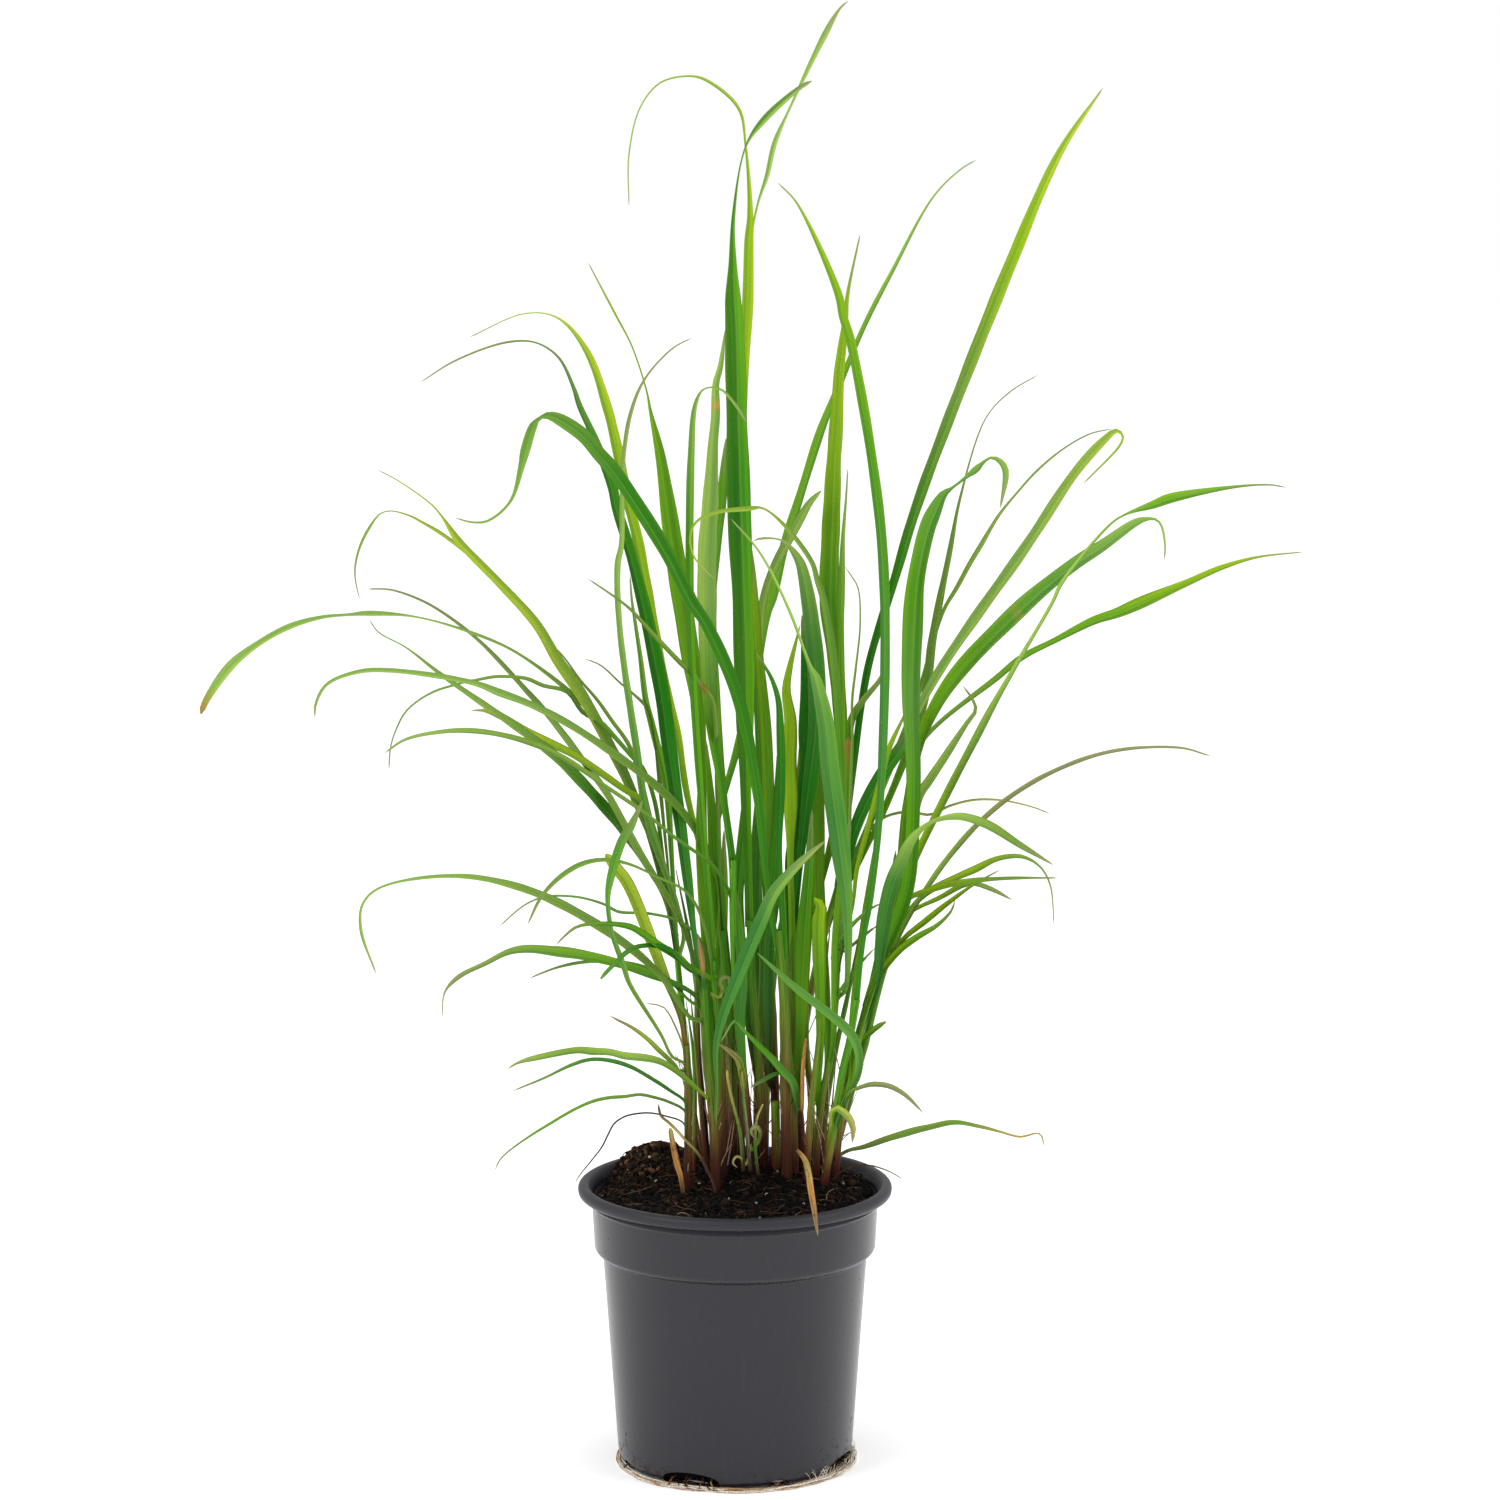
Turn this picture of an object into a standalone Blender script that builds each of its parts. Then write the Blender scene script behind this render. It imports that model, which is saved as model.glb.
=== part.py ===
"""Potted lemongrass: a tussock of arching grass leaves on reddish stems, in a soil-filled nursery pot.

Metres, +Z up. The origin is the centre of the pot's underside and -Y is the front.
Each leaf and stem follows a route of picture points, read from a front view of the plant,
with its depth behind the pot's axis given beside it in millimetres. Most leaves also have their
width there, as seen and in millimetres, as the third number of each point.
"""
import math

import bmesh
import bpy
import numpy as np

MM = 0.001

# Pot: driving dimensions
POT_HEIGHT = 118.0 * MM
LIP_RADIUS = 65.0 * MM
LIP_HEIGHT = 4.9 * MM
LIP_WIDTH = 5.0 * MM
LIP_ROUNDING = 1.4 * MM
COLLAR_TOP_RADIUS = 59.0 * MM
COLLAR_FOOT_RADIUS = 58.0 * MM
COLLAR_FOOT_HEIGHT = 91.0 * MM
COLLAR_STEP = 2.5 * MM
BODY_TOP_RADIUS = 54.6 * MM
BASE_RADIUS = 48.6 * MM
BASE_CURVE = 5.6 * MM
FOOT_WIDTH = 3.5 * MM
WALL = 1.4 * MM
FLOOR_TOP = 3.2 * MM
FLOOR_RECESS = 1.6 * MM
BOSS_RADIUS = 8.0 * MM
BEVEL = 1.0 * MM
POT_SIDES = 40

# Drains: (width, height) of the two kinds; each is straight up to its shoulder and arched above
DRAINS = 8
FIRST_DRAIN_DEG = -112.5
WIDE_DRAIN = (25.0 * MM, 7.0 * MM)
NARROW_DRAIN = (9.0 * MM, 4.2 * MM)
DRAIN_SHOULDER = 0.45
DRAIN_INSIDE = 8.0 * MM
DRAIN_OUTSIDE = 4.0 * MM
ARCH_STEPS = 6

# Soil: a mound at the stems, and a fibrous heap at the back left
CLEARANCE = 0.4 * MM
SOIL_SIDES = 28
SOIL_EDGE = 109.0 * MM
SOIL_EDGE_GAP = 1.0 * MM
SOIL_RING_SHARES = (1.0, 0.91, 0.77, 0.62, 0.46, 0.3, 0.14)
CLUMP_PLACE = (14.0 * MM, 20.0 * MM)
CLUMP_RISE = 10.0 * MM
CLUMP_SPREAD = 30.0 * MM
HEAP_PLACE = (-36.0 * MM, 34.0 * MM)
HEAP_RISE = 14.0 * MM
HEAP_SPREAD = 13.0 * MM
LUMP_RISE = 0.9 * MM
LUMP_LENGTHS = (5.0 * MM, 6.0 * MM)

# Roots that have grown out of the drains and lie round the foot
ROOT_RING_RADIUS = 48.5 * MM
ROOT_THICKNESS = 0.85 * MM
ROOT_RING_STEPS = 36
ROOT_RING_SIDES = 5
ROOT_WAVES = ((0.2 * MM, 5, 0.0), (0.1 * MM, 9, 1.0))
ROOT_SWELL = (0.1, 7, 2.0)

# Leaves and stems
BLADE_THICKNESS = 0.8 * MM
TIP_THICKNESS = 0.5 * MM
FOLD = 0.16
STEM_SIDES = 6
STEM_STEPS = 5
STEM_TOP_SHARE = 0.82
LINE_STEPS = 20
FOOT_PY = 1170.0
BLADE_STEPS = 14
BEND_LENGTH = 45.0 * MM
NARROWEST = 0.4 * MM

# The view that the routes were read in: a square picture, eye in front of the pot
EYE = np.array((6.2 * MM, -2.13, 0.65))
VIEW_PITCH = math.radians(9.37)
FOCAL = 5300.0
PICTURE_CENTRE = 750.0

PLASTIC_COLOUR = (0.06, 0.062, 0.066)
SOIL_COLOUR = (0.02, 0.013, 0.008)
ROOT_COLOUR = (0.55, 0.42, 0.28)
STEM_COLOUR = (0.22, 0.13, 0.07)
LEAF_COLOURS = {
    "green": (0.10, 0.30, 0.03),
    "dark": (0.03, 0.16, 0.02),
    "yellow_green": (0.28, 0.42, 0.02),
    "blue_green": (0.09, 0.28, 0.09),
    "olive": (0.25, 0.30, 0.07),
}

# Stems: foot is picture x and depth on the soil; route runs on from there to the top, and depth
# is that of the top. Diameter and depths are in millimetres.
STEMS = {
    "stem_01": dict(foot=(687, 2), route=((688, 1110), (686, 1045)), depth=-2, diameter=3.4),
    "stem_02": dict(foot=(716, 0), route=((713, 1120), (707, 1060), (703, 985)), depth=-4, diameter=4.2),
    "stem_03": dict(foot=(724, 10), route=((722, 1110), (721, 1050), (714, 960)), depth=6, diameter=4.0),
    "stem_04": dict(foot=(733, 21), route=((733, 1085), (729, 1010), (722, 930)), depth=16, diameter=3.6),
    "stem_05": dict(foot=(698, 38), route=((692, 1100), (684, 1030), (675, 930)), depth=44, diameter=2.9),
    "stem_06": dict(foot=(752, 8), route=((746, 1100), (738, 1020), (733, 930), (733, 860)),
                    depth=0, diameter=3.4),
    "stem_07": dict(foot=(765, 17), route=((762, 1100), (757, 1040), (753, 985), (750, 920)),
                    depth=10, diameter=3.6),
    "stem_08": dict(foot=(776, 29), route=((775, 1100), (772, 1010), (768, 930)), depth=26, diameter=3.8),
    "stem_09": dict(foot=(787, 7), route=((785, 1060), (784, 1000), (778, 930)), depth=-4, diameter=4.2),
    "stem_10": dict(foot=(803, 20), route=((801, 1130), (797, 1080), (793, 1000), (792, 930)),
                    depth=22, diameter=3.4),
    "stem_11": dict(foot=(815, 11), route=((822, 1100), (830, 1060), (835, 1010), (838, 950)),
                    depth=0, diameter=3.2),
    "stem_12": dict(foot=(824, 2), route=((838, 1100), (843, 1070), (850, 1040), (857, 1000)),
                    depth=-9, diameter=3.4),
    "stem_13": dict(foot=(829, 18), route=((834, 1120), (846, 1075), (858, 1038), (868, 1000)),
                    depth=10, diameter=3.9),
    "stem_14": dict(foot=(832, 32), route=((848, 1105), (864, 1050), (879, 990), (890, 950)),
                    depth=32, diameter=3.0),
    "stem_15": dict(foot=(742, 46), route=((735, 1060), (722, 960), (705, 880)), depth=62, diameter=3.4),
    "stem_16": dict(foot=(790, 44), route=((800, 1060), (818, 960), (840, 880)), depth=60, diameter=3.4),
}

# Leaves: the stem and how far up it the blade leaves it, then the route of picture points to the
# tip. depth and turn are spread evenly along the route, and so is width where the points have no
# widths of their own; millimetres and degrees. A leaf turned by a positive angle shows its upper
# face to the right of straight ahead.
LEAVES = {
    "leaf_centre_tall": dict(
        stem="stem_07", at=1.0, colour="dark", steps=18,
        route=((749, 880, 3.4), (747, 820, 4), (746, 760, 5.5), (745.5, 680, 8.3), (743, 590, 8.4),
               (740.2, 508, 9.7), (737.7, 417, 8.6), (735.5, 328, 7.6), (734, 300, 6.4),
               (733.3, 267, 3.6), (733.7, 217, 1.5), (745.8, 147, 0.8), (763.3, 121, 2.5),
               (800, 88, 1.9), (811.7, 81, 1.2)),
        depth=(10, 8, 4, 0, -6, -16, -30), turn=(-30,)),
    "leaf_centre_yellow_arch": dict(
        stem="stem_08", at=1.0, colour="yellow_green", steps=20,
        route=((764, 860, 3.2), (757, 700, 3.6), (742, 480, 4), (742, 400, 4), (747.3, 300, 4.5),
               (748.5, 240, 3.6), (750, 217, 2.6), (745.7, 147, 1), (738.3, 108, 1.3),
               (705, 79.7, 1.2), (688, 76.2, 0.8), (660, 83, 0.7), (640, 108, 0.6), (629, 155, 0.6),
               (629, 205, 0.4)),
        depth=(26, 28, 32, 36, 46, 62, 76, 84), turn=(30,)),
    "leaf_top_spear": dict(
        stem="stem_08", at=0.9, colour="olive", steps=16,
        route=((777, 900, 2.4), (770, 780, 3.4), (757, 640, 3.5), (746, 500, 2.5), (744, 400, 2),
               (747, 300, 1.9), (751, 240, 1), (758.3, 203, 1), (767.5, 175, 1.8), (775, 143, 2.1),
               (788.3, 112, 1), (826.7, 31.7, 2.4), (840.8, 7.5, 0.9), (848.3, 1, 0.5)),
        depth=(34, 48, 58, 64, 68, 74), turn=(-35,)),
    "leaf_right_of_centre": dict(
        stem="stem_12", at=1.0, colour="green", steps=16,
        route=((863, 940, 2.1), (871, 895, 2.3), (881, 780, 3.4), (881.8, 548, 4.1), (851, 345, 3.7),
               (842.3, 315, 3.4), (838.3, 295, 3.2), (796.7, 203, 0.8), (778, 183, 0.5)),
        depth=(-9, -14, -22, -32, -42, -54, -64), turn=(28,)),
    "leaf_upright_spear": dict(
        stem="stem_10", at=0.88, colour="yellow_green",
        route=((806, 930, 2.4), (830, 850, 3), (842, 780, 4.4), (836.5, 660, 6.6), (831.5, 623, 7.2),
               (829.7, 598, 8), (833, 500, 7.2), (834.3, 467, 6.1), (837.5, 417, 5.5),
               (838.7, 389, 4.5), (840.3, 367, 4.4), (846, 318, 2.4), (847.5, 297, 1.6),
               (860, 235, 0.5)),
        depth=(30, 36, 40, 46, 54, 62), turn=(-30,)),
    "leaf_lean_thin": dict(
        stem="stem_15", at=1.0, colour="dark",
        route=((718, 820, 2.6), (740, 740, 3.3), (757, 665, 4.1), (768, 612, 3.8), (772.8, 598, 4.2),
               (786.7, 540, 4), (799.5, 500, 3.6), (821.7, 430, 3.6), (844, 375, 2.6), (865, 325, 2.2),
               (891.7, 273, 1.7), (933.3, 197, 0.8), (960, 170, 0.6), (976, 160, 0.5)),
        depth=(64, 74, 92, 114, 136), turn=(-38,)),
    "leaf_right_tall": dict(
        stem="stem_16", at=1.0, colour="green", steps=16,
        route=((850, 800, 2.6), (868, 670, 3.2), (895, 580, 3.8), (919.5, 500, 4.4), (1012, 262, 5),
               (1060, 153, 3), (1103, 88, 0.5)),
        depth=(60, 60, 56, 50, 44, 38), turn=(-32,)),
    "leaf_pale_left_of_centre": dict(
        stem="stem_06", at=1.0, colour="blue_green",
        route=((722, 790, 3), (714, 745, 4), (709.5, 700, 6), (706.3, 560, 7.9), (709.8, 500, 6.7),
               (712.5, 445, 4.1), (715, 417, 3.8), (715.7, 383, 2.9), (720, 367, 2.4), (725, 330, 0.5)),
        depth=(0, 8, 16, 24, 30), turn=(25,)),
    "leaf_small_hook": dict(
        stem="stem_03", at=1.0, colour="green", steps=16,
        route=((706, 860, 2.6), (691.5, 640, 3.3), (691.3, 460, 2.9), (696, 403, 1.7), (704, 389, 0.7),
               (720, 389, 0.9), (737, 407, 1.1), (746, 422, 0.8)),
        depth=(6, 0, -6, -12, -20, -26), turn=(-25,)),
    "leaf_bright_loop": dict(
        stem="stem_11", at=1.0, colour="yellow_green", steps=18,
        route=((843, 860, 2.6), (837, 697, 3.3), (823, 600, 2.8), (816.7, 580, 2.4), (811.7, 563, 2.1),
               (786.7, 528.3, 1.6), (766.7, 510.3, 0.8), (758.3, 507.5, 1), (751.7, 508.7, 1.8),
               (716.7, 512.5, 1.4), (696.7, 521.7, 1.1), (690.3, 536.7, 0.8), (694.2, 556.7, 0.8),
               (715, 580, 0.5)),
        depth=(0, -8, -14, -22, -34, -46, -54, -56), turn=(30, 30, 40, 20)),
    "leaf_blue_arch": dict(
        stem="stem_10", at=1.0, colour="blue_green",
        route=((800, 860, 3), (806, 810, 5), (817, 705, 7.4), (803.3, 575, 5), (796.7, 557, 3.4),
               (781.7, 540.5, 0.8), (760, 538.7, 1), (753.3, 541, 0.5)),
        depth=(22, 18, 10, 0, -12, -26, -32), turn=(20,)),
    "leaf_front_folded": dict(
        stem="stem_11", at=0.78, colour="blue_green", steps=18,
        route=((845, 990, 1.8), (848, 950, 3), (846, 900, 5), (841, 855, 7.8), (829.5, 767, 7.4),
               (825, 721.5, 6.6), (815, 678, 4.2), (810.5, 668, 2), (789, 610, 1.2), (760, 553, 0.9),
               (731, 519, 0.6)),
        depth=(-4, -16, -28, -40, -54, -66, -76), turn=(15,)),
    "leaf_front_cross": dict(
        stem="stem_02", at=0.3, colour="blue_green",
        route=((717, 1090, 1.4), (716, 1050, 2.4), (722, 1020, 3.6), (745, 960, 5.8), (762, 920, 5.4),
               (774, 893, 4.8), (800, 863, 3.3), (825, 841, 0.7)),
        depth=(-6, -14, -24, -38, -50), turn=(-25,)),
    "leaf_front_bent": dict(
        stem="stem_12", at=0.3, colour="blue_green",
        route=((848, 1094, 2.4), (856, 1078, 3.6), (859, 1060, 4.2), (855, 1042, 4.8),
               (845, 1028, 4.8), (793, 986, 2.9), (757, 953, 0.5)),
        depth=(-8, -16, -22, -30, -38, -46), turn=(30,)),
    "leaf_left_dark": dict(
        stem="stem_02", at=1.0, colour="dark", steps=18,
        route=((694, 935, 2.4), (686.4, 874, 4.2), (678, 812, 5), (669, 750, 6.2), (660.5, 688, 6.4),
               (633.6, 566, 4.8), (616, 507.5, 4.3), (612, 488, 4.4), (593.7, 438, 3.2),
               (578.7, 405, 2.4), (573.3, 388, 1.6), (558.3, 357.5, 1.1), (535.8, 342.8, 0.7),
               (506.7, 342.5, 0.9), (455, 361, 0.7), (421, 382, 0.4)),
        depth=(-2, 8, 20, 30, 38, 46, 54, 60), turn=(30, 30, 35, 55)),
    "leaf_left_yellow": dict(
        stem="stem_15", at=0.8, colour="yellow_green", steps=18,
        route=((700, 850, 2.2), (686, 792, 2.8), (677.5, 734, 2.8), (664, 676, 2.8), (636.7, 538, 4.5),
               (627.5, 501.7, 4.5), (608, 413, 4.1), (584.7, 348.3, 2.6), (556.7, 317.5, 0.8),
               (524.5, 313.7, 0.5), (470, 337, 0.4)),
        depth=(68, 72, 78, 86, 96, 110, 128), turn=(35, 35, 40, 55)),
    "leaf_left_wide": dict(
        stem="stem_15", at=0.96, colour="yellow_green",
        route=((704, 830, 2.4), (698, 714, 5.4), (689.5, 656, 7.6), (672, 540, 7.8), (659.7, 455, 4.1),
               (650, 410, 1.4), (646.7, 392, 0.8), (631.7, 346, 0.7), (615.5, 315, 0.9),
               (588.3, 263, 0.4)),
        depth=(56, 52, 46, 40, 34, 28), turn=(28,)),
    "leaf_left_upright": dict(
        stem="stem_05", at=0.86, colour="green", steps=16,
        route=((684, 935, 1.8), (677, 905, 2.2), (647.4, 815, 3.2), (637.6, 752.6, 3.1),
               (620, 628, 2.5), (618, 564, 2.5), (621.7, 545, 2.2), (623.3, 463, 1.8), (631, 413, 1.6),
               (645, 379, 0.9), (673.3, 348, 0.6), (692, 338, 0.4)),
        depth=(38, 30, 20, 8, -4, -16, -24), turn=(-25, -25, -35)),
    "leaf_left_bent": dict(
        stem="stem_09", at=0.9, colour="dark", steps=22,
        route=((766, 880, 2.4), (758, 800, 4), (738, 700, 5), (706, 625, 5), (692, 604, 5.2),
               (666, 553, 5.6), (615, 473.3, 5.8), (598.3, 454, 5.5), (583.3, 436.3, 5.6),
               (556.7, 418.7, 4.5), (546.7, 416, 2.8), (539.5, 418.5, 1.2), (534, 425, 3.2),
               (525.8, 450, 4), (521.7, 466.7, 2.6), (510.5, 501.5, 1.2), (488.3, 520.8, 1),
               (473.3, 522.5, 0.8), (455, 518, 0.5)),
        depth=(-10, -16, -20, -24, -34, -48, -62, -74), turn=(30, 30, 35, 30, 20)),
    "leaf_far_left": dict(
        stem="stem_05", at=0.8, colour="green", steps=18,
        route=((671, 925, 1.6), (642, 815, 2.3), (622, 765, 2.5), (606, 737, 2.5), (590, 712, 2.5),
               (520, 655, 1.2), (473, 633.5, 1.2), (415, 617, 0.8), (366.7, 614, 2.2), (350, 615, 1.3),
               (323, 617.5, 1.5), (290, 627, 2.4), (260, 643.3, 2.8), (231.7, 666, 3.7),
               (208.3, 698, 3), (201, 714, 2.4)),
        depth=(48, 56, 64, 68, 66, 60, 50), turn=(40, 50, 55, 50)),
    "leaf_left_olive": dict(
        stem="stem_04", at=0.72, colour="olive",
        route=((704, 985), (684, 930), (667, 897), (642, 858), (607, 795), (580, 758), (553, 722), (518, 682),
               (480, 642), (443, 613), (420, 600), (391, 590), (368, 589)),
        depth=(18, 16, 18, 40, 76, 108, 130), turn=(45,),
        width=(1.6, 2.3, 2.9, 2.9, 2.9, 2.5, 1.6, 1.2, 0.6)),
    "leaf_left_sweep": dict(
        stem="stem_05", at=1.0, colour="dark",
        route=((663, 895, 2.2), (643, 860, 3.4), (620, 827, 4.4), (567, 768, 4.3), (543, 747, 3.8),
               (440, 674, 1.7), (405, 647, 0.6), (378, 632, 0.5), (369, 619, 0.4)),
        depth=(42, 32, 18, 2, -14, -26), turn=(42,)),
    "leaf_left_arch": dict(
        stem="stem_04", at=1.0, colour="blue_green", steps=16,
        route=((718, 880, 2.2), (693, 827, 3.2), (660, 790, 3.4), (577, 730, 3), (532, 706, 3),
               (498, 693, 3), (473, 683.5, 2.3), (390, 671, 1.9), (357, 672.5, 1.6), (326.7, 685, 1.4),
               (315.8, 705, 1), (315, 718, 0.4)),
        depth=(14, 8, -2, -16, -30, -42, -46), turn=(42, 50, 50)),
    "leaf_left_low_arch": dict(
        stem="stem_06", at=0.88, colour="blue_green", steps=16,
        route=((713, 866), (695, 852), (675, 838), (647, 815), (603, 785), (563, 758), (523, 741),
               (480, 732), (443, 732), (405, 740), (385, 753)),
        depth=(-6, -14, -30, -52, -76, -98, -112), turn=(45,),
        width=(1.4, 1.4, 1.4, 1.6, 2.1, 2.3, 2.3, 2, 1.4, 0.6)),
    "leaf_left_forked": dict(
        stem="stem_05", at=0.965, colour="yellow_green",
        route=((672, 897, 2), (660, 860, 2.9), (626, 780, 4), (584, 700, 4.8), (557, 660, 4.8),
               (534, 622, 4), (465, 549, 3.1), (457, 540, 3.2), (441.7, 516.7, 1), (431.7, 505, 0.7),
               (400, 482, 0.5), (378, 470, 0.4)),
        depth=(50, 54, 60, 64, 66, 66), turn=(35,)),
    "leaf_low_hook": dict(
        stem="stem_01", at=0.86, colour="green",
        route=((672, 1056, 1.2), (662, 1036, 1.4), (629, 982, 2), (624, 966, 2.4), (611.5, 930, 1.9),
               (608, 897, 2.1), (610.5, 880, 3), (622, 842, 3.8), (631, 827, 3.4), (643, 800, 0.5)),
        depth=(-8, -22, -36, -46, -54), turn=(-30,)),
    "leaf_pale_dying": dict(
        stem="stem_01", at=1.0, colour="yellow_green",
        route=((681, 1022, 1.8), (675, 1003, 2.2), (660, 965, 4.4), (627.6, 884, 5), (615, 867, 4.6),
               (606, 854, 3.6)),
        depth=(0, 12, 22, 30), turn=(25,)),
    "leaf_low_arch": dict(
        stem="stem_02", at=0.8, colour="olive", steps=16,
        route=((690, 1018, 1.7), (660, 976, 2.8), (610, 934, 3.7), (530, 891.6, 3.3),
               (456, 876.4, 1.8), (380, 888, 0.9), (363, 904, 1), (361.4, 930, 1.3), (376, 973, 0.6)),
        depth=(-10, -14, -18, -24, -28, -28, -22), turn=(42, 50, 50)),
    "leaf_low_left": dict(
        stem="stem_02", at=0.9, colour="green",
        route=((690, 992, 1.8), (650, 975, 3.4), (610, 962, 3.6), (570, 954, 4.4), (516, 950.5, 3),
               (486, 963.6, 2), (458, 978, 2), (445, 992, 0.8), (442, 1018, 0.3)),
        depth=(-3, -2, 8, 26, 44, 58), turn=(48,)),
    "leaf_low_olive_hook": dict(
        stem="stem_03", at=0.93, colour="olive",
        route=((704, 925), (687, 893), (657, 877), (628, 864), (603, 860), (580, 865), (557, 880),
               (541, 898), (528, 924)),
        depth=(2, -8, -22, -38, -52), turn=(40,),
        width=(1.4, 1.2, 0.9, 0.9, 1.5, 2.1, 2.1, 1.4, 0.6)),
    "leaf_base_left": dict(
        stem="stem_02", at=0.42, colour="yellow_green",
        route=((700, 1092, 1.5), (662, 1063, 2.8), (622, 1056, 3), (610, 1053, 3), (590, 1052, 3.2),
               (576, 1051, 2.6), (534, 1059, 2.4), (516, 1064, 0.9), (508, 1069, 0.6)),
        depth=(-8, -26, -48, -68, -84), turn=(45,)),
    "leaf_right_wide": dict(
        stem="stem_13", at=1.0, colour="green", steps=22,
        route=((874, 980, 3), (903, 905, 5.8), (910, 875, 5.6), (914, 780, 6), (911.5, 700, 7),
               (913.4, 630, 8.4), (917, 580, 7.4), (927.6, 530, 6.5), (934, 514, 6.1),
               (944.4, 494, 3.2), (951, 489, 1.3), (968, 476, 1.6), (976, 470, 2.8), (983, 463, 1.4),
               (990, 458, 1), (998, 460, 2), (1005, 470, 2.8), (1000.4, 508, 0.6)),
        depth=(10, 4, 0, -4, -8, -10, -4), turn=(-22, -22, -25, -35)),
    "leaf_right_thin": dict(
        stem="stem_16", at=0.88, colour="green",
        route=((856, 870, 2), (893, 790, 3), (925, 700, 3.6), (933, 640, 3.6), (951, 547, 2.2),
               (960.4, 498, 1.1), (986, 418, 0.5), (1010, 392, 0.5), (1038, 375, 0.4)),
        depth=(62, 70, 78, 86, 94), turn=(-35,)),
    "leaf_right_hooked": dict(
        stem="stem_16", at=0.94, colour="yellow_green", steps=18,
        route=((866, 830, 2), (897, 755, 3), (936, 678, 3.8), (1028, 545, 4.6), (1078, 470, 4),
               (1106, 439, 3.2), (1116, 431, 2), (1122.4, 435, 1.2), (1121, 443, 1.1),
               (1084, 483, 0.6)),
        depth=(58, 58, 66, 78, 92, 106, 116), turn=(-38,)),
    "leaf_right_broad": dict(
        stem="stem_14", at=0.92, colour="green",
        route=((898, 900, 2), (906, 820, 3), (919, 745, 4.4), (929, 720, 4.8), (953, 680, 6),
               (1020, 610, 7), (1070, 568, 5.1), (1103, 546, 4.8), (1136.7, 522.5, 3.1),
               (1148, 519, 1.5), (1156.7, 520, 1), (1161.7, 527, 1), (1165, 548, 0.8),
               (1164, 560, 0.5)),
        depth=(36, 34, 28, 16, 2, -10, -16), turn=(-35,)),
    "leaf_far_right_upper": dict(
        stem="stem_14", at=1.0, colour="yellow_green", steps=16,
        route=((900, 900, 2.2), (914, 862, 3), (985, 722, 3), (1012, 673, 2), (1053, 602, 1.4),
               (1062, 583, 1.6), (1112, 523, 0.9), (1126.7, 514, 1), (1153.3, 505, 3.2),
               (1170, 499, 3.8), (1235, 487, 1.2), (1270, 485, 0.6), (1286, 487.5, 0.5)),
        depth=(30, 16, -2, -26, -50, -74, -92), turn=(-38,)),
    "leaf_far_right": dict(
        stem="stem_14", at=0.74, colour="green", steps=16,
        route=((895, 900, 1.8), (906, 800, 1.8), (920, 745, 1.8), (1000, 676, 2.5), (1022, 658, 2.8),
               (1056.7, 640, 2.4), (1095, 621, 3.8), (1116.7, 614, 4.5), (1136.7, 605.5, 5),
               (1186.7, 583.5, 3.1), (1220, 568.5, 2.2), (1256.7, 557.5, 1.1), (1303, 552, 0.4)),
        depth=(46, 52, 56, 60, 64, 68), turn=(-42,)),
    "leaf_right_olive_arch": dict(
        stem="stem_14", at=0.96, colour="olive",
        route=((905, 925), (920, 899), (955, 850), (995, 809), (1045, 776), (1110, 752), (1180, 748),
               (1210, 756)),
        depth=(30, 22, 10, -4, -20, -34), turn=(-45,),
        width=(2, 2.4, 2.4, 2, 1.7, 1.2, 0.6)),
    "leaf_right_blue_arch": dict(
        stem="stem_13", at=0.9, colour="blue_green", steps=16,
        route=((877, 985, 2.6), (881, 950, 5), (889.5, 895, 6), (904, 857, 6), (928.3, 824.2, 3.4),
               (961.7, 817, 3.1), (986.7, 824.7, 3.6), (1020, 845.3, 2.7), (1053.3, 865, 0.5)),
        depth=(6, -10, -28, -48, -68, -88), turn=(-30,)),
    "leaf_base_right": dict(
        stem="stem_13", at=0.08, colour="green",
        route=((846, 1152), (865, 1147), (895, 1137), (925, 1129), (955, 1123), (980, 1127), (1000, 1132),
               (1020, 1137), (1040, 1134), (1044, 1146)),
        depth=(14, -2, -22, -42, -58), turn=(-48,),
        width=(1.4, 2.2, 2.9, 2.8, 2.2, 1.6, 1, 0.7, 0.5)),
}


def clear_scene():
    for item in list(bpy.data.objects):
        bpy.data.objects.remove(item, do_unlink=True)


def make_material(name, colour, roughness):
    material = bpy.data.materials.get(name)
    if material:
        return material
    material = bpy.data.materials.new(name)
    material.use_nodes = True
    shader = material.node_tree.nodes["Principled BSDF"]
    shader.inputs["Base Color"].default_value = (*colour, 1.0)
    shader.inputs["Roughness"].default_value = roughness
    material.diffuse_color = (*colour, 1.0)
    return material


def add_object(name, bm, material, sharp_deg=40.0):
    """Turns a bmesh into a smooth-shaded object of its own."""
    bmesh.ops.recalc_face_normals(bm, faces=bm.faces)
    mesh = bpy.data.meshes.new(name)
    bm.to_mesh(mesh)
    bm.free()
    mesh.shade_smooth()
    mesh.set_sharp_from_angle(angle=math.radians(sharp_deg))
    mesh.materials.append(material)
    item = bpy.data.objects.new(name, mesh)
    bpy.context.scene.collection.objects.link(item)
    return item


def skin_rings(rings):
    """A closed bmesh over a list of equal rings of points, capped at both ends."""
    bm = bmesh.new()
    loops = [[bm.verts.new(point) for point in ring] for ring in rings]
    count = len(loops[0])
    for lower, upper in zip(loops, loops[1:]):
        for i in range(count):
            j = (i + 1) % count
            bm.faces.new((lower[i], lower[j], upper[j], upper[i]))
    bm.faces.new(loops[0][::-1])
    bm.faces.new(loops[-1])
    return bm


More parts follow.
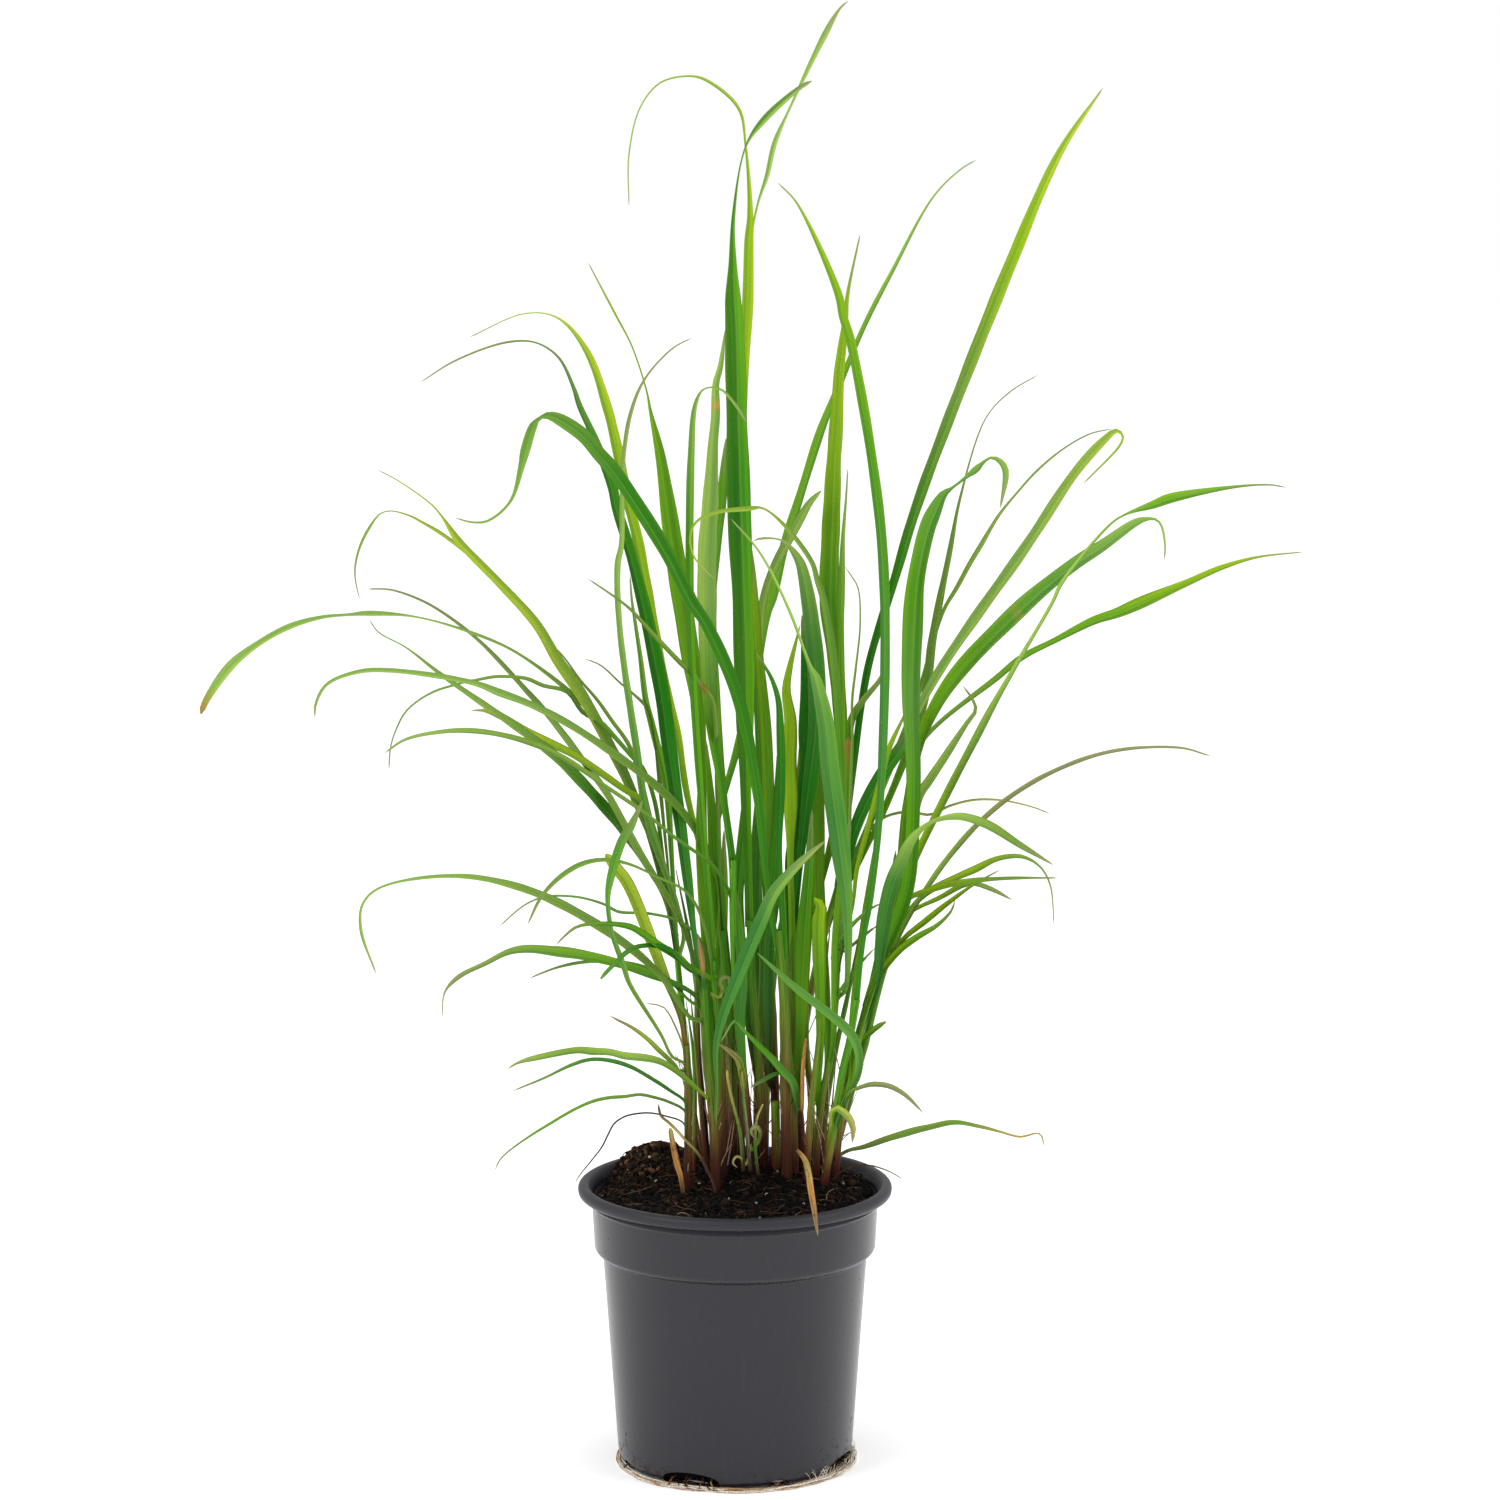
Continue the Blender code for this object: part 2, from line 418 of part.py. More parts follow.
def spun(profile, sides):
    """A solid turned about Z from a profile of (radius, height) whose two ends lie on the axis."""
    bm = bmesh.new()
    verts = [bm.verts.new((r, 0.0, z)) for r, z in profile]
    edges = [bm.edges.new(pair) for pair in zip(verts, verts[1:])]
    bmesh.ops.spin(bm, geom=verts + edges, cent=(0, 0, 0), axis=(0, 0, 1),
                   angle=2 * math.pi, steps=sides, use_duplicate=False)
    bmesh.ops.remove_doubles(bm, verts=bm.verts, dist=1e-6)
    return bm


def arc(centre, radii, start_deg, end_deg, steps):
    """Points (radius, height) along a stretch of an ellipse, both ends included."""
    return [(centre[0] + radii[0] * math.cos(angle), centre[1] + radii[1] * math.sin(angle))
            for angle in np.radians(np.linspace(start_deg, end_deg, steps + 1))]


def pot_profile():
    """Outer wall from the boss up to the rolled lip, then the inner wall down to the floor."""
    body_top = COLLAR_FOOT_HEIGHT - COLLAR_STEP
    lip_foot = POT_HEIGHT - LIP_HEIGHT
    inner, rounded = LIP_RADIUS - LIP_WIDTH, LIP_RADIUS - LIP_ROUNDING
    foot_outer, foot_inner = BASE_RADIUS - FOOT_WIDTH, BASE_RADIUS - 2 * FOOT_WIDTH
    lip_radii = (LIP_ROUNDING, LIP_ROUNDING)
    return (
        (0.0, 0.0), (BOSS_RADIUS, 0.0), (BOSS_RADIUS + BEVEL, FLOOR_RECESS),
        (foot_inner - BEVEL, FLOOR_RECESS), (foot_inner, 0.0),
        *arc((foot_outer, BASE_CURVE), (FOOT_WIDTH, BASE_CURVE), -90, 0, 3),
        (BODY_TOP_RADIUS, body_top), (COLLAR_FOOT_RADIUS - BEVEL, body_top + BEVEL),
        (COLLAR_FOOT_RADIUS, COLLAR_FOOT_HEIGHT), (COLLAR_TOP_RADIUS, lip_foot),
        *arc((rounded, lip_foot + LIP_ROUNDING), lip_radii, -90, 0, 2),
        *arc((rounded, POT_HEIGHT - LIP_ROUNDING), lip_radii, 0, 90, 2),
        *arc((inner + LIP_ROUNDING, POT_HEIGHT - LIP_ROUNDING), lip_radii, 90, 180, 1),
        (COLLAR_TOP_RADIUS - WALL, lip_foot - BEVEL),
        (COLLAR_FOOT_RADIUS - WALL, COLLAR_FOOT_HEIGHT + BEVEL),
        (BODY_TOP_RADIUS - WALL, body_top + BEVEL), (BASE_RADIUS - WALL, BASE_CURVE),
        (foot_outer, FLOOR_TOP), (0.0, FLOOR_TOP),
    )


def drain_cutter():
    """Arched blocks round the foot, one for each drain, wide and narrow in turn."""
    bm = bmesh.new()
    near, far = BASE_RADIUS - DRAIN_INSIDE, BASE_RADIUS + DRAIN_OUTSIDE
    for index in range(DRAINS):
        turn = math.radians(FIRST_DRAIN_DEG + index * 360.0 / DRAINS)
        out = np.array((math.cos(turn), math.sin(turn), 0.0))
        side = np.array((-math.sin(turn), math.cos(turn), 0.0))
        wide, high = (WIDE_DRAIN, NARROW_DRAIN)[index % 2]
        outline = [(-wide / 2, -BEVEL), (wide / 2, -BEVEL)]
        outline += arc((0.0, high * DRAIN_SHOULDER), (wide / 2, high * (1 - DRAIN_SHOULDER)),
                       0, 180, ARCH_STEPS)
        rings = [[bm.verts.new(out * r + side * s + np.array((0, 0, z))) for s, z in outline]
                 for r in (near, far)]
        count = len(outline)
        for i in range(count):
            j = (i + 1) % count
            bm.faces.new((rings[0][i], rings[0][j], rings[1][j], rings[1][i]))
        bm.faces.new(rings[0][::-1])
        bm.faces.new(rings[1])
    cutter = add_object("drain_cutter", bm, make_material("plastic", PLASTIC_COLOUR, 0.4))
    cutter.hide_render = True
    cutter.display_type = "WIRE"
    return cutter


def build_pot():
    plastic = make_material("plastic", PLASTIC_COLOUR, 0.4)
    pot = add_object("pot", spun(pot_profile(), POT_SIDES), plastic)
    cut = pot.modifiers.new("drains", "BOOLEAN")
    cut.operation = "DIFFERENCE"
    cut.object = drain_cutter()


def soil_height(x, y):
    """Height of the soil: a level edge, a mound at the stems and the heap at the back left."""
    clump = math.hypot(x - CLUMP_PLACE[0], y - CLUMP_PLACE[1]) / CLUMP_SPREAD
    heap = math.hypot(x - HEAP_PLACE[0], y - HEAP_PLACE[1]) / HEAP_SPREAD
    lumps = LUMP_RISE * math.sin(x / LUMP_LENGTHS[0]) * math.cos(y / LUMP_LENGTHS[1]) * min(1.0, clump ** 4)
    return (SOIL_EDGE + CLUMP_RISE * math.exp(-0.5 * clump ** 2)
            + HEAP_RISE * math.exp(-0.5 * heap ** 2) + lumps)


def build_soil():
    """One plug of soil that fills the pot with a small gap to its wall."""
    body_top = COLLAR_FOOT_HEIGHT - COLLAR_STEP
    gap = CLEARANCE + WALL
    wall = ((BASE_RADIUS - FOOT_WIDTH - 2 * CLEARANCE, FLOOR_TOP + CLEARANCE),
            (BASE_RADIUS - gap, BASE_CURVE + WALL),
            (BODY_TOP_RADIUS - gap, body_top + WALL),
            (COLLAR_FOOT_RADIUS - gap - CLEARANCE / 2, COLLAR_FOOT_HEIGHT + 2 * BEVEL))
    edge = COLLAR_TOP_RADIUS - WALL - SOIL_EDGE_GAP
    angles = [2 * math.pi * i / SOIL_SIDES for i in range(SOIL_SIDES)]
    rings = [[(r * math.cos(a), r * math.sin(a), z) for a in angles] for r, z in wall]
    for share in SOIL_RING_SHARES:
        ring = [(edge * share * math.cos(a), edge * share * math.sin(a)) for a in angles]
        rings.append([(x, y, soil_height(x, y)) for x, y in ring])
    add_object("soil", skin_rings(rings), make_material("soil", SOIL_COLOUR, 0.95))


def build_root_ring():
    """Fine roots matted into a ring round the foot, thicker here and thinner there."""
    bm = bmesh.new()
    loops = []
    swell, swell_count, swell_phase = ROOT_SWELL
    for step in range(ROOT_RING_STEPS):
        angle = 2 * math.pi * step / ROOT_RING_STEPS
        radius = ROOT_RING_RADIUS + sum(size * math.sin(count * angle + phase)
                                        for size, count, phase in ROOT_WAVES)
        thick = ROOT_THICKNESS * (1.0 + swell * math.sin(swell_count * angle + swell_phase))
        loop = []
        for corner in range(ROOT_RING_SIDES):
            turn = 2 * math.pi * (corner + 0.25) / ROOT_RING_SIDES
            out = radius + thick * math.cos(turn)
            height = ROOT_THICKNESS + thick * math.sin(turn)
            loop.append(bm.verts.new((out * math.cos(angle), out * math.sin(angle), max(0.0, height))))
        loops.append(loop)
    for lower, upper in zip(loops, loops[1:] + loops[:1]):
        for i in range(ROOT_RING_SIDES):
            j = (i + 1) % ROOT_RING_SIDES
            bm.faces.new((lower[i], lower[j], upper[j], upper[i]))
    add_object("root_ring", bm, make_material("roots", ROOT_COLOUR, 0.8))


def on_sight_line(px, py, depth):
    """The point that the view shows at picture point (px, py), at y = depth."""
    across, down = (px - PICTURE_CENTRE) / FOCAL, (py - PICTURE_CENTRE) / FOCAL
    pitch_cos, pitch_sin = math.cos(VIEW_PITCH), math.sin(VIEW_PITCH)
    ray = np.array((across, pitch_cos - down * pitch_sin, -pitch_sin - down * pitch_cos))
    return EYE + ray * (depth - EYE[1]) / ray[1]


def spread(values, share):
    """Reads a short list of values, spaced evenly from 0 to 1, at each share along it."""
    if len(values) == 1:
        return np.full(np.shape(share), float(values[0]))
    return np.interp(share, np.linspace(0, 1, len(values)), values)


def shares_along(points):
    """Each point's share of the length of the line through them."""
    steps = np.linalg.norm(np.diff(points, axis=0), axis=1)
    run = np.concatenate(((0.0,), np.cumsum(steps)))
    return run / run[-1]


def smooth_line(points, count, bend_length=0.0):
    """A centripetal Catmull-Rom curve through the points, read at count points of even spacing.

    Each radian of bend counts as bend_length more, so that a tight curve gets closer points.
    Columns past the first three follow along and don't count as distance.
    """
    points = np.asarray(points, float)
    ends = np.vstack((2 * points[0] - points[1], points, 2 * points[-1] - points[-2]))
    fine = []
    for a, b, c, d in zip(ends, ends[1:], ends[2:], ends[3:]):
        knots = np.cumsum([0.0] + [math.sqrt(np.linalg.norm((q - p)[:3]))
                                   for p, q in ((a, b), (b, c), (c, d))])
        t = np.linspace(knots[1], knots[2], 12, endpoint=False)[:, None]
        k0, k1, k2, k3 = knots
        ab = (k1 - t) / (k1 - k0) * a + (t - k0) / (k1 - k0) * b
        bc = (k2 - t) / (k2 - k1) * b + (t - k1) / (k2 - k1) * c
        cd = (k3 - t) / (k3 - k2) * c + (t - k2) / (k3 - k2) * d
        abc = (k2 - t) / (k2 - k0) * ab + (t - k0) / (k2 - k0) * bc
        bcd = (k3 - t) / (k3 - k1) * bc + (t - k1) / (k3 - k1) * cd
        fine.append((k2 - t) / (k2 - k1) * abc + (t - k1) / (k2 - k1) * bcd)
    fine = np.vstack(fine + [points[-1:]])
    steps = np.diff(fine[:, :3], axis=0)
    along = unit(steps)
    bend = np.arccos(np.clip(np.sum(along[1:] * along[:-1], axis=1), -1, 1))
    cost = np.linalg.norm(steps, axis=1)
    cost[1:] += bend_length * bend
    run = np.concatenate(((0.0,), np.cumsum(cost)))
    wanted = np.linspace(0, run[-1], count)
    return np.stack([np.interp(wanted, run, column) for column in fine.T], axis=1)


def unit(vectors):
    return vectors / np.linalg.norm(vectors, axis=-1, keepdims=True)


def frames(line, turn_deg):
    """Width direction and upper face direction at each point, turned from facing the view."""
    tangent = unit(np.gradient(line, axis=0))
    sight = unit(EYE - line)
    facing = unit(sight - tangent * np.sum(sight * tangent, axis=1, keepdims=True))
    beside = np.cross(tangent, facing)
    turn = np.radians(turn_deg)[:, None]
    upper = facing * np.cos(turn) + beside * np.sin(turn)
    return np.cross(tangent, upper), upper


def picture_height(point):
    """The picture height at which the view shows a point."""
    away = point - EYE
    ahead = away[1] * math.cos(VIEW_PITCH) - away[2] * math.sin(VIEW_PITCH)
    rise = away[1] * math.sin(VIEW_PITCH) + away[2] * math.cos(VIEW_PITCH)
    return PICTURE_CENTRE - FOCAL * rise / ahead


def stem_line(name, count):
    """The stem's centre line as count points, its foot standing clear of the soil."""
    stem = STEMS[name]
    foot_px, foot_depth = stem["foot"]
    lowest = on_sight_line(foot_px, FOOT_PY, foot_depth * MM)
    radius = stem["diameter"] * MM / 2
    around = [soil_height(lowest[0] + radius * math.cos(a), lowest[1] + radius * math.sin(a))
              for a in np.linspace(0, 2 * math.pi, 9)]
    lowest[2] = max(around) + CLEARANCE
    foot_py = picture_height(lowest)
    heights = np.array([py for _, py in stem["route"]], float)
    climb = (foot_py - heights) / (foot_py - heights[-1])
    depths = foot_depth + (stem["depth"] - foot_depth) * climb
    points = [on_sight_line(px, py, d * MM) for (px, py), d in zip(stem["route"], depths)]
    return smooth_line([lowest] + points, count)


def build_stem(name):
    """A round sheath-wrapped stem, a little thicker at its foot."""
    stem = STEMS[name]
    line = stem_line(name, STEM_STEPS + 1)
    beside, facing = frames(line, np.zeros(len(line)))
    radii = stem["diameter"] * MM / 2 * np.linspace(1.0, STEM_TOP_SHARE, len(line))
    angles = np.linspace(0, 2 * math.pi, STEM_SIDES, endpoint=False)
    rings = [[centre + r * (b * math.cos(a) + f * math.sin(a)) for a in angles]
             for centre, b, f, r in zip(line, beside, facing, radii)]
    add_object(name, skin_rings(rings), make_material("stem", STEM_COLOUR, 0.6))


def leaf_start(leaf, first, width):
    """Where the blade leaves its stem: on its top, or beside it, with the clearance between them."""
    line = stem_line(leaf["stem"], LINE_STEPS + 1)
    radius = STEMS[leaf["stem"]]["diameter"] * MM / 2
    place = leaf["at"] * (len(line) - 1)
    index = min(int(place), len(line) - 2)
    point = line[index] + (line[index + 1] - line[index]) * (place - index)
    along = unit(line[index + 1] - line[index])
    if leaf["at"] >= 1.0:
        return point + along * (CLEARANCE + width / 4)
    out = unit(first - point)
    out = unit(out - along * np.dot(out, along))
    return point + out * (radius + width / 2 + CLEARANCE)


def leaf_line(leaf, count):
    """The blade's centre line, its picture points each set back to its depth, and its seen widths."""
    route = np.array(leaf["route"], float)
    share = shares_along(route[:, :2])
    depths = spread(leaf["depth"], share) * MM
    widths = (spread(leaf["width"], share) if "width" in leaf else route[:, 2]) * MM
    points = [on_sight_line(px, py, depth) for (px, py), depth in zip(route[:, :2], depths)]
    points = np.vstack([leaf_start(leaf, points[0], widths[0])] + points)
    widths = np.concatenate((widths[:1], widths))
    line = smooth_line(np.column_stack((points, widths)), count, BEND_LENGTH)
    return line[:, :3], np.maximum(line[:, 3], NARROWEST)


def build_leaf(name):
    """A blade with a V-shaped section: two edges, and a thicker midrib between them."""
    leaf = LEAVES[name]
    count = leaf.get("steps", BLADE_STEPS) + 1
    line, seen = leaf_line(leaf, count)
    turn = spread(leaf["turn"], shares_along(line))
    half = (seen / np.cos(np.radians(turn)) / 2)[:, None]
    beside, upper = frames(line, turn)
    rib = (np.linspace(BLADE_THICKNESS, TIP_THICKNESS, count) / 2)[:, None]
    rise = upper * half * FOLD
    sections = (line - beside * half + rise, line + upper * rib - rise,
                line + beside * half + rise, line - upper * rib - rise)
    rings = [[section[i] for section in sections] for i in range(count)]
    material = make_material("leaf_" + leaf["colour"], LEAF_COLOURS[leaf["colour"]], 0.5)
    add_object(name, skin_rings(rings), material, sharp_deg=70.0)


clear_scene()
build_pot()
build_soil()
build_root_ring()
for stem_name in STEMS:
    build_stem(stem_name)
for leaf_name in LEAVES:
    build_leaf(leaf_name)
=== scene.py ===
import itertools
import math

import bpy
import numpy as np
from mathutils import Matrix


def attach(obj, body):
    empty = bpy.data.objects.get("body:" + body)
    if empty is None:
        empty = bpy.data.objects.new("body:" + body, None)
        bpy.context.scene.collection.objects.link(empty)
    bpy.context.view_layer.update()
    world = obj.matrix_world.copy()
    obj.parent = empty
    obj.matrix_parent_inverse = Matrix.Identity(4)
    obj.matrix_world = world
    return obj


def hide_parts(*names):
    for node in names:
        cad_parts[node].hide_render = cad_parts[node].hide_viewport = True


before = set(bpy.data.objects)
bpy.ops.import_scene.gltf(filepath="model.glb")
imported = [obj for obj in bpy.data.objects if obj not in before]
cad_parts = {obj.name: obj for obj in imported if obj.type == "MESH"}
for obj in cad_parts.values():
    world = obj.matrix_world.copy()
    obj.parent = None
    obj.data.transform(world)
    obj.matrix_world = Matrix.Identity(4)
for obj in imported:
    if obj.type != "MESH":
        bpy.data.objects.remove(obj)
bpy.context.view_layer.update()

# Pot
# A round nursery pot, thin black-grey polypropylene from an injection mould: a rolled lip with a
# small bead under it, a wider stacking collar, a tapering body and arched drains round the foot.
# It stands on the ring of its foot and on a flat boss under the floor.
MM = 0.001
POT_HEIGHT, LIP_HEIGHT, LIP_RADIUS = 118.0 * MM, 4.9 * MM, 65.0 * MM
COLLAR_TOP_RADIUS, COLLAR_FOOT_RADIUS, COLLAR_FOOT_HEIGHT = 59.0 * MM, 58.0 * MM, 91.0 * MM
BODY_TOP_RADIUS, BODY_TOP_HEIGHT, BASE_RADIUS = 54.6 * MM, COLLAR_FOOT_HEIGHT - 2.5 * MM, 48.6 * MM
WALL, FLOOR_TOP, FLOOR_RECESS, BOSS_RADIUS = 1.4 * MM, 3.2 * MM, 1.6 * MM, 8.0 * MM
UNDER_LIP_BEAD = 1.3 * MM
POT_SIDES = 192
WIDE_DRAIN, NARROW_DRAIN = (25.0 * MM, 7.0 * MM), (9.0 * MM, 4.2 * MM)
DRAIN_COUNT, FIRST_DRAIN_DEG = 8, -112.5
DRAINS = [(math.radians(FIRST_DRAIN_DEG + index * 360.0 / DRAIN_COUNT),
           (WIDE_DRAIN, NARROW_DRAIN)[index % 2]) for index in range(DRAIN_COUNT)]
# The heights between which a look comes in or, at the foot, dies out. The last two also end again.
SPLASHED, LIP_RISE = (2 * MM, 26 * MM), (113 * MM, 116 * MM)
# The band at the collar's step is a painted highlight: a pale line where the step catches the light.
STEP_HIGHLIGHT_BAND = (88.6 * MM, 89.4 * MM), (91 * MM, 92 * MM)
LIP_GROOVE = (110.0 * MM, 110.6 * MM), (112.4 * MM, 113.2 * MM)
SPECKS = ((-52, 79, 6, (8, 7, 6)), (-44, 14, 9, (10, 8, 7)), (46, 14, 7, (10, 8, 7)),
          (9, 102, 4, (8, 7, 6)), (44, 56, 2, (8, 7, 6)))


def linear(red, green, blue):
    """A colour named in the 0 to 255 steps of a screen, as the linear light that shaders use."""
    screen = np.array((red, green, blue)) / 255.0
    return np.where(screen <= 0.04045, screen / 12.92, ((screen + 0.055) / 1.055) ** 2.4)


class Wire:
    """A shader socket in plain arithmetic: each operator adds one Math node to its material."""

    def __init__(self, finish, socket):
        self.finish, self.socket = finish, socket

    def math(self, operation, *values):
        return self.finish.node("ShaderNodeMath", {"operation": operation}, dict(enumerate(values)))

    def __add__(self, other):
        return self.math("ADD", self, other)

    def __sub__(self, other):
        return self.math("SUBTRACT", self, other)

    def __rsub__(self, other):
        return self.math("SUBTRACT", other, self)

    def __mul__(self, other):
        return self.math("MULTIPLY", self, other)

    def __abs__(self):
        return self.math("ABSOLUTE", self)

    __radd__, __rmul__ = __add__, __mul__


class Finish:
    """A material round one Principled shader, whose constants are set by socket name."""

    def __init__(self, name, constants):
        self.material = bpy.data.materials.new(name)
        self.material.use_nodes = True
        self.tree = self.material.node_tree
        self.shader = self.tree.nodes["Principled BSDF"]
        for socket, value in constants.items():
            self.shader.inputs[socket].default_value = value

    def node(self, kind, settings, inputs, output=0):
        """Adds a node, its settings first and then its sockets, and returns one of its outputs."""
        node = self.tree.nodes.new(kind)
        for setting, value in settings.items():
            setattr(node, setting, value)
        for socket, value in inputs.items():
            if isinstance(value, Wire):
                self.tree.links.new(value.socket, node.inputs[socket])
            else:
                node.inputs[socket].default_value = value
        return Wire(self, node.outputs[output])

    def place(self):
        return self.node("ShaderNodeTexCoord", {}, {}, "Object")

    def stretch(self, vector, scale):
        return self.node("ShaderNodeVectorMath", {"operation": "MULTIPLY"}, {0: vector, 1: scale})

    def noise(self, vector, scale, detail=3.0, roughness=0.55):
        return self.node("ShaderNodeTexNoise", {}, {"Vector": vector, "Scale": scale, "Detail": detail,
                                                    "Roughness": roughness})

    def streaks(self, across, along, detail, roughness=0.55):
        """Noise on the UV map that follows the piece, with so many waves a metre across and along it."""
        grown = self.node("ShaderNodeUVMap", {"uv_map": "grown"}, {})
        return self.noise(self.stretch(grown, (across, along, 1.0)), 1.0, detail, roughness)

    def between(self, value, low, high):
        """Rises smoothly from 0 where value is low to 1 where it is high."""
        return self.node("ShaderNodeMapRange", {"interpolation_type": "SMOOTHSTEP"},
                         {"Value": value, "From Min": low, "From Max": high})

    def band(self, value, rise, fall):
        """1 between two stretches of value: it rises over the first and falls over the second."""
        return self.between(value, *rise) * (1.0 - self.between(value, *fall))

    def mix(self, share, first, second, kind="MIX"):
        """The first colour, turning into the second as share goes from 0 to 1."""
        colours = [c if isinstance(c, Wire) else (*c, 1.0) for c in (first, second)]
        return self.node("ShaderNodeMix", {"data_type": "RGBA", "blend_type": kind},
                         {0: share, 6: colours[0], 7: colours[1]}, 2)

    def times(self, colour, factors):
        return self.mix(1.0, colour, factors, "MULTIPLY")

    def shaded(self, share, colour, dark, light):
        """The colour times its dark factors, turning into the colour times its light ones."""
        return self.mix(share, self.times(colour, dark), self.times(colour, light))

    def attribute(self, name, output):
        return self.node("ShaderNodeAttribute", {"attribute_name": name}, {}, output)

    def bump(self, height, distance, strength=1.0):
        """Raises the surface by height times distance, in metres."""
        return self.node("ShaderNodeBump", {}, {"Height": height, "Distance": distance,
                                                "Strength": strength})

    def feed(self, **wires):
        for socket, wire in wires.items():
            self.tree.links.new(wire.socket, self.shader.inputs[socket.replace("_", " ")])
        return self.material


def in_scene(name, data):
    thing = bpy.data.objects.new(name, data)
    bpy.context.scene.collection.objects.link(thing)
    return thing


def add_piece(name, material, slot, points, faces, tones=None, uv=None, across=None):
    """A smooth-shaded piece of the plant: (n, 3) points, and arrays of corner numbers, one array
    for each number of corners. tones, uv and across are read by the material, one row a point."""
    mesh = bpy.data.meshes.new(name)
    corners = np.concatenate([np.asarray(group).ravel() for group in faces])
    sizes = np.concatenate([np.full(len(group), np.shape(group)[1]) for group in faces])
    mesh.vertices.add(len(points))
    mesh.loops.add(len(corners))
    mesh.polygons.add(len(sizes))
    mesh.vertices.foreach_set("co", np.asarray(points, np.float32).ravel())
    mesh.loops.foreach_set("vertex_index", corners.astype(np.int32))
    mesh.polygons.foreach_set("loop_start", (np.cumsum(sizes) - sizes).astype(np.int32))
    mesh.update(calc_edges=True)
    if tones is not None:
        rgba = np.hstack((tones, np.ones((len(tones), 1)))).astype(np.float32)
        mesh.attributes.new("tone", "FLOAT_COLOR", "POINT").data.foreach_set("color", rgba.ravel())
    if across is not None:
        mesh.attributes.new("across", "FLOAT", "POINT").data.foreach_set(
            "value", across.astype(np.float32))
    if uv is not None:
        mesh.uv_layers.new(name="grown").data.foreach_set("uv", uv[corners].astype(np.float32).ravel())
    mesh.shade_smooth()
    mesh.materials.append(material)
    piece = in_scene(name, mesh)
    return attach(piece, "root")


def grid_faces(rings, around):
    """Quads of a grid of closed rings, each ring running the same way round."""
    grid = np.arange(rings * around).reshape(rings, around)
    grid = np.hstack((grid, grid[:, :1]))
    return np.stack((grid[:-1, :-1], grid[:-1, 1:], grid[1:, 1:], grid[1:, :-1]), -1).reshape(-1, 4)


def tube_faces(rings, around):
    """A closed tube's faces: the quads between its rings, and its first and last ring as ends."""
    ring = np.arange(around)
    return grid_faces(rings, around), np.stack((ring[::-1], ring + (rings - 1) * around))


def joined(parts):
    """Several (points, faces, tones, uv, ...) pieces as one: corner numbers move on piece by piece."""
    starts = np.cumsum([0] + [len(part[0]) for part in parts])
    points = np.vstack([part[0] for part in parts])
    faces = [group + start for part, start in zip(parts, starts) for group in part[1]]
    return points, faces, *(np.concatenate(column) for column in list(zip(*parts))[2:])


def circle(steps):
    """The angles of so many equal steps of a full turn."""
    return np.linspace(0, 2 * math.pi, steps, endpoint=False)


def around_axis(radius, angle, height):
    """Points about the pot's axis: x = r cos a, y = r sin a, z = height."""
    return np.stack(np.broadcast_arrays(radius * np.cos(angle), radius * np.sin(angle), height), -1)


def rounded(corners):
    """A profile whose corner k, (radius, height, rounding), is cut back by its rounding along both
    of its sides and bridged by a quadratic curve: (1-t)^2 a + 2t(1-t) b + t^2 c."""
    place = np.array([corner[:2] for corner in corners], float)
    profile = [place[:1]]
    for before, here, after, corner in zip(place, place[1:], place[2:], corners[1:]):
        cuts = [here + (end - here) * min(0.5, corner[2] / np.linalg.norm(end - here))
                for end in (before, after)]
        t = np.linspace(0, 1, 7 if corner[2] > 0.3 * MM else 3)[:, None]
        profile.append((1 - t) ** 2 * cuts[0] + 2 * t * (1 - t) * here + t ** 2 * cuts[1])
    return np.vstack(profile + [place[-1:]])


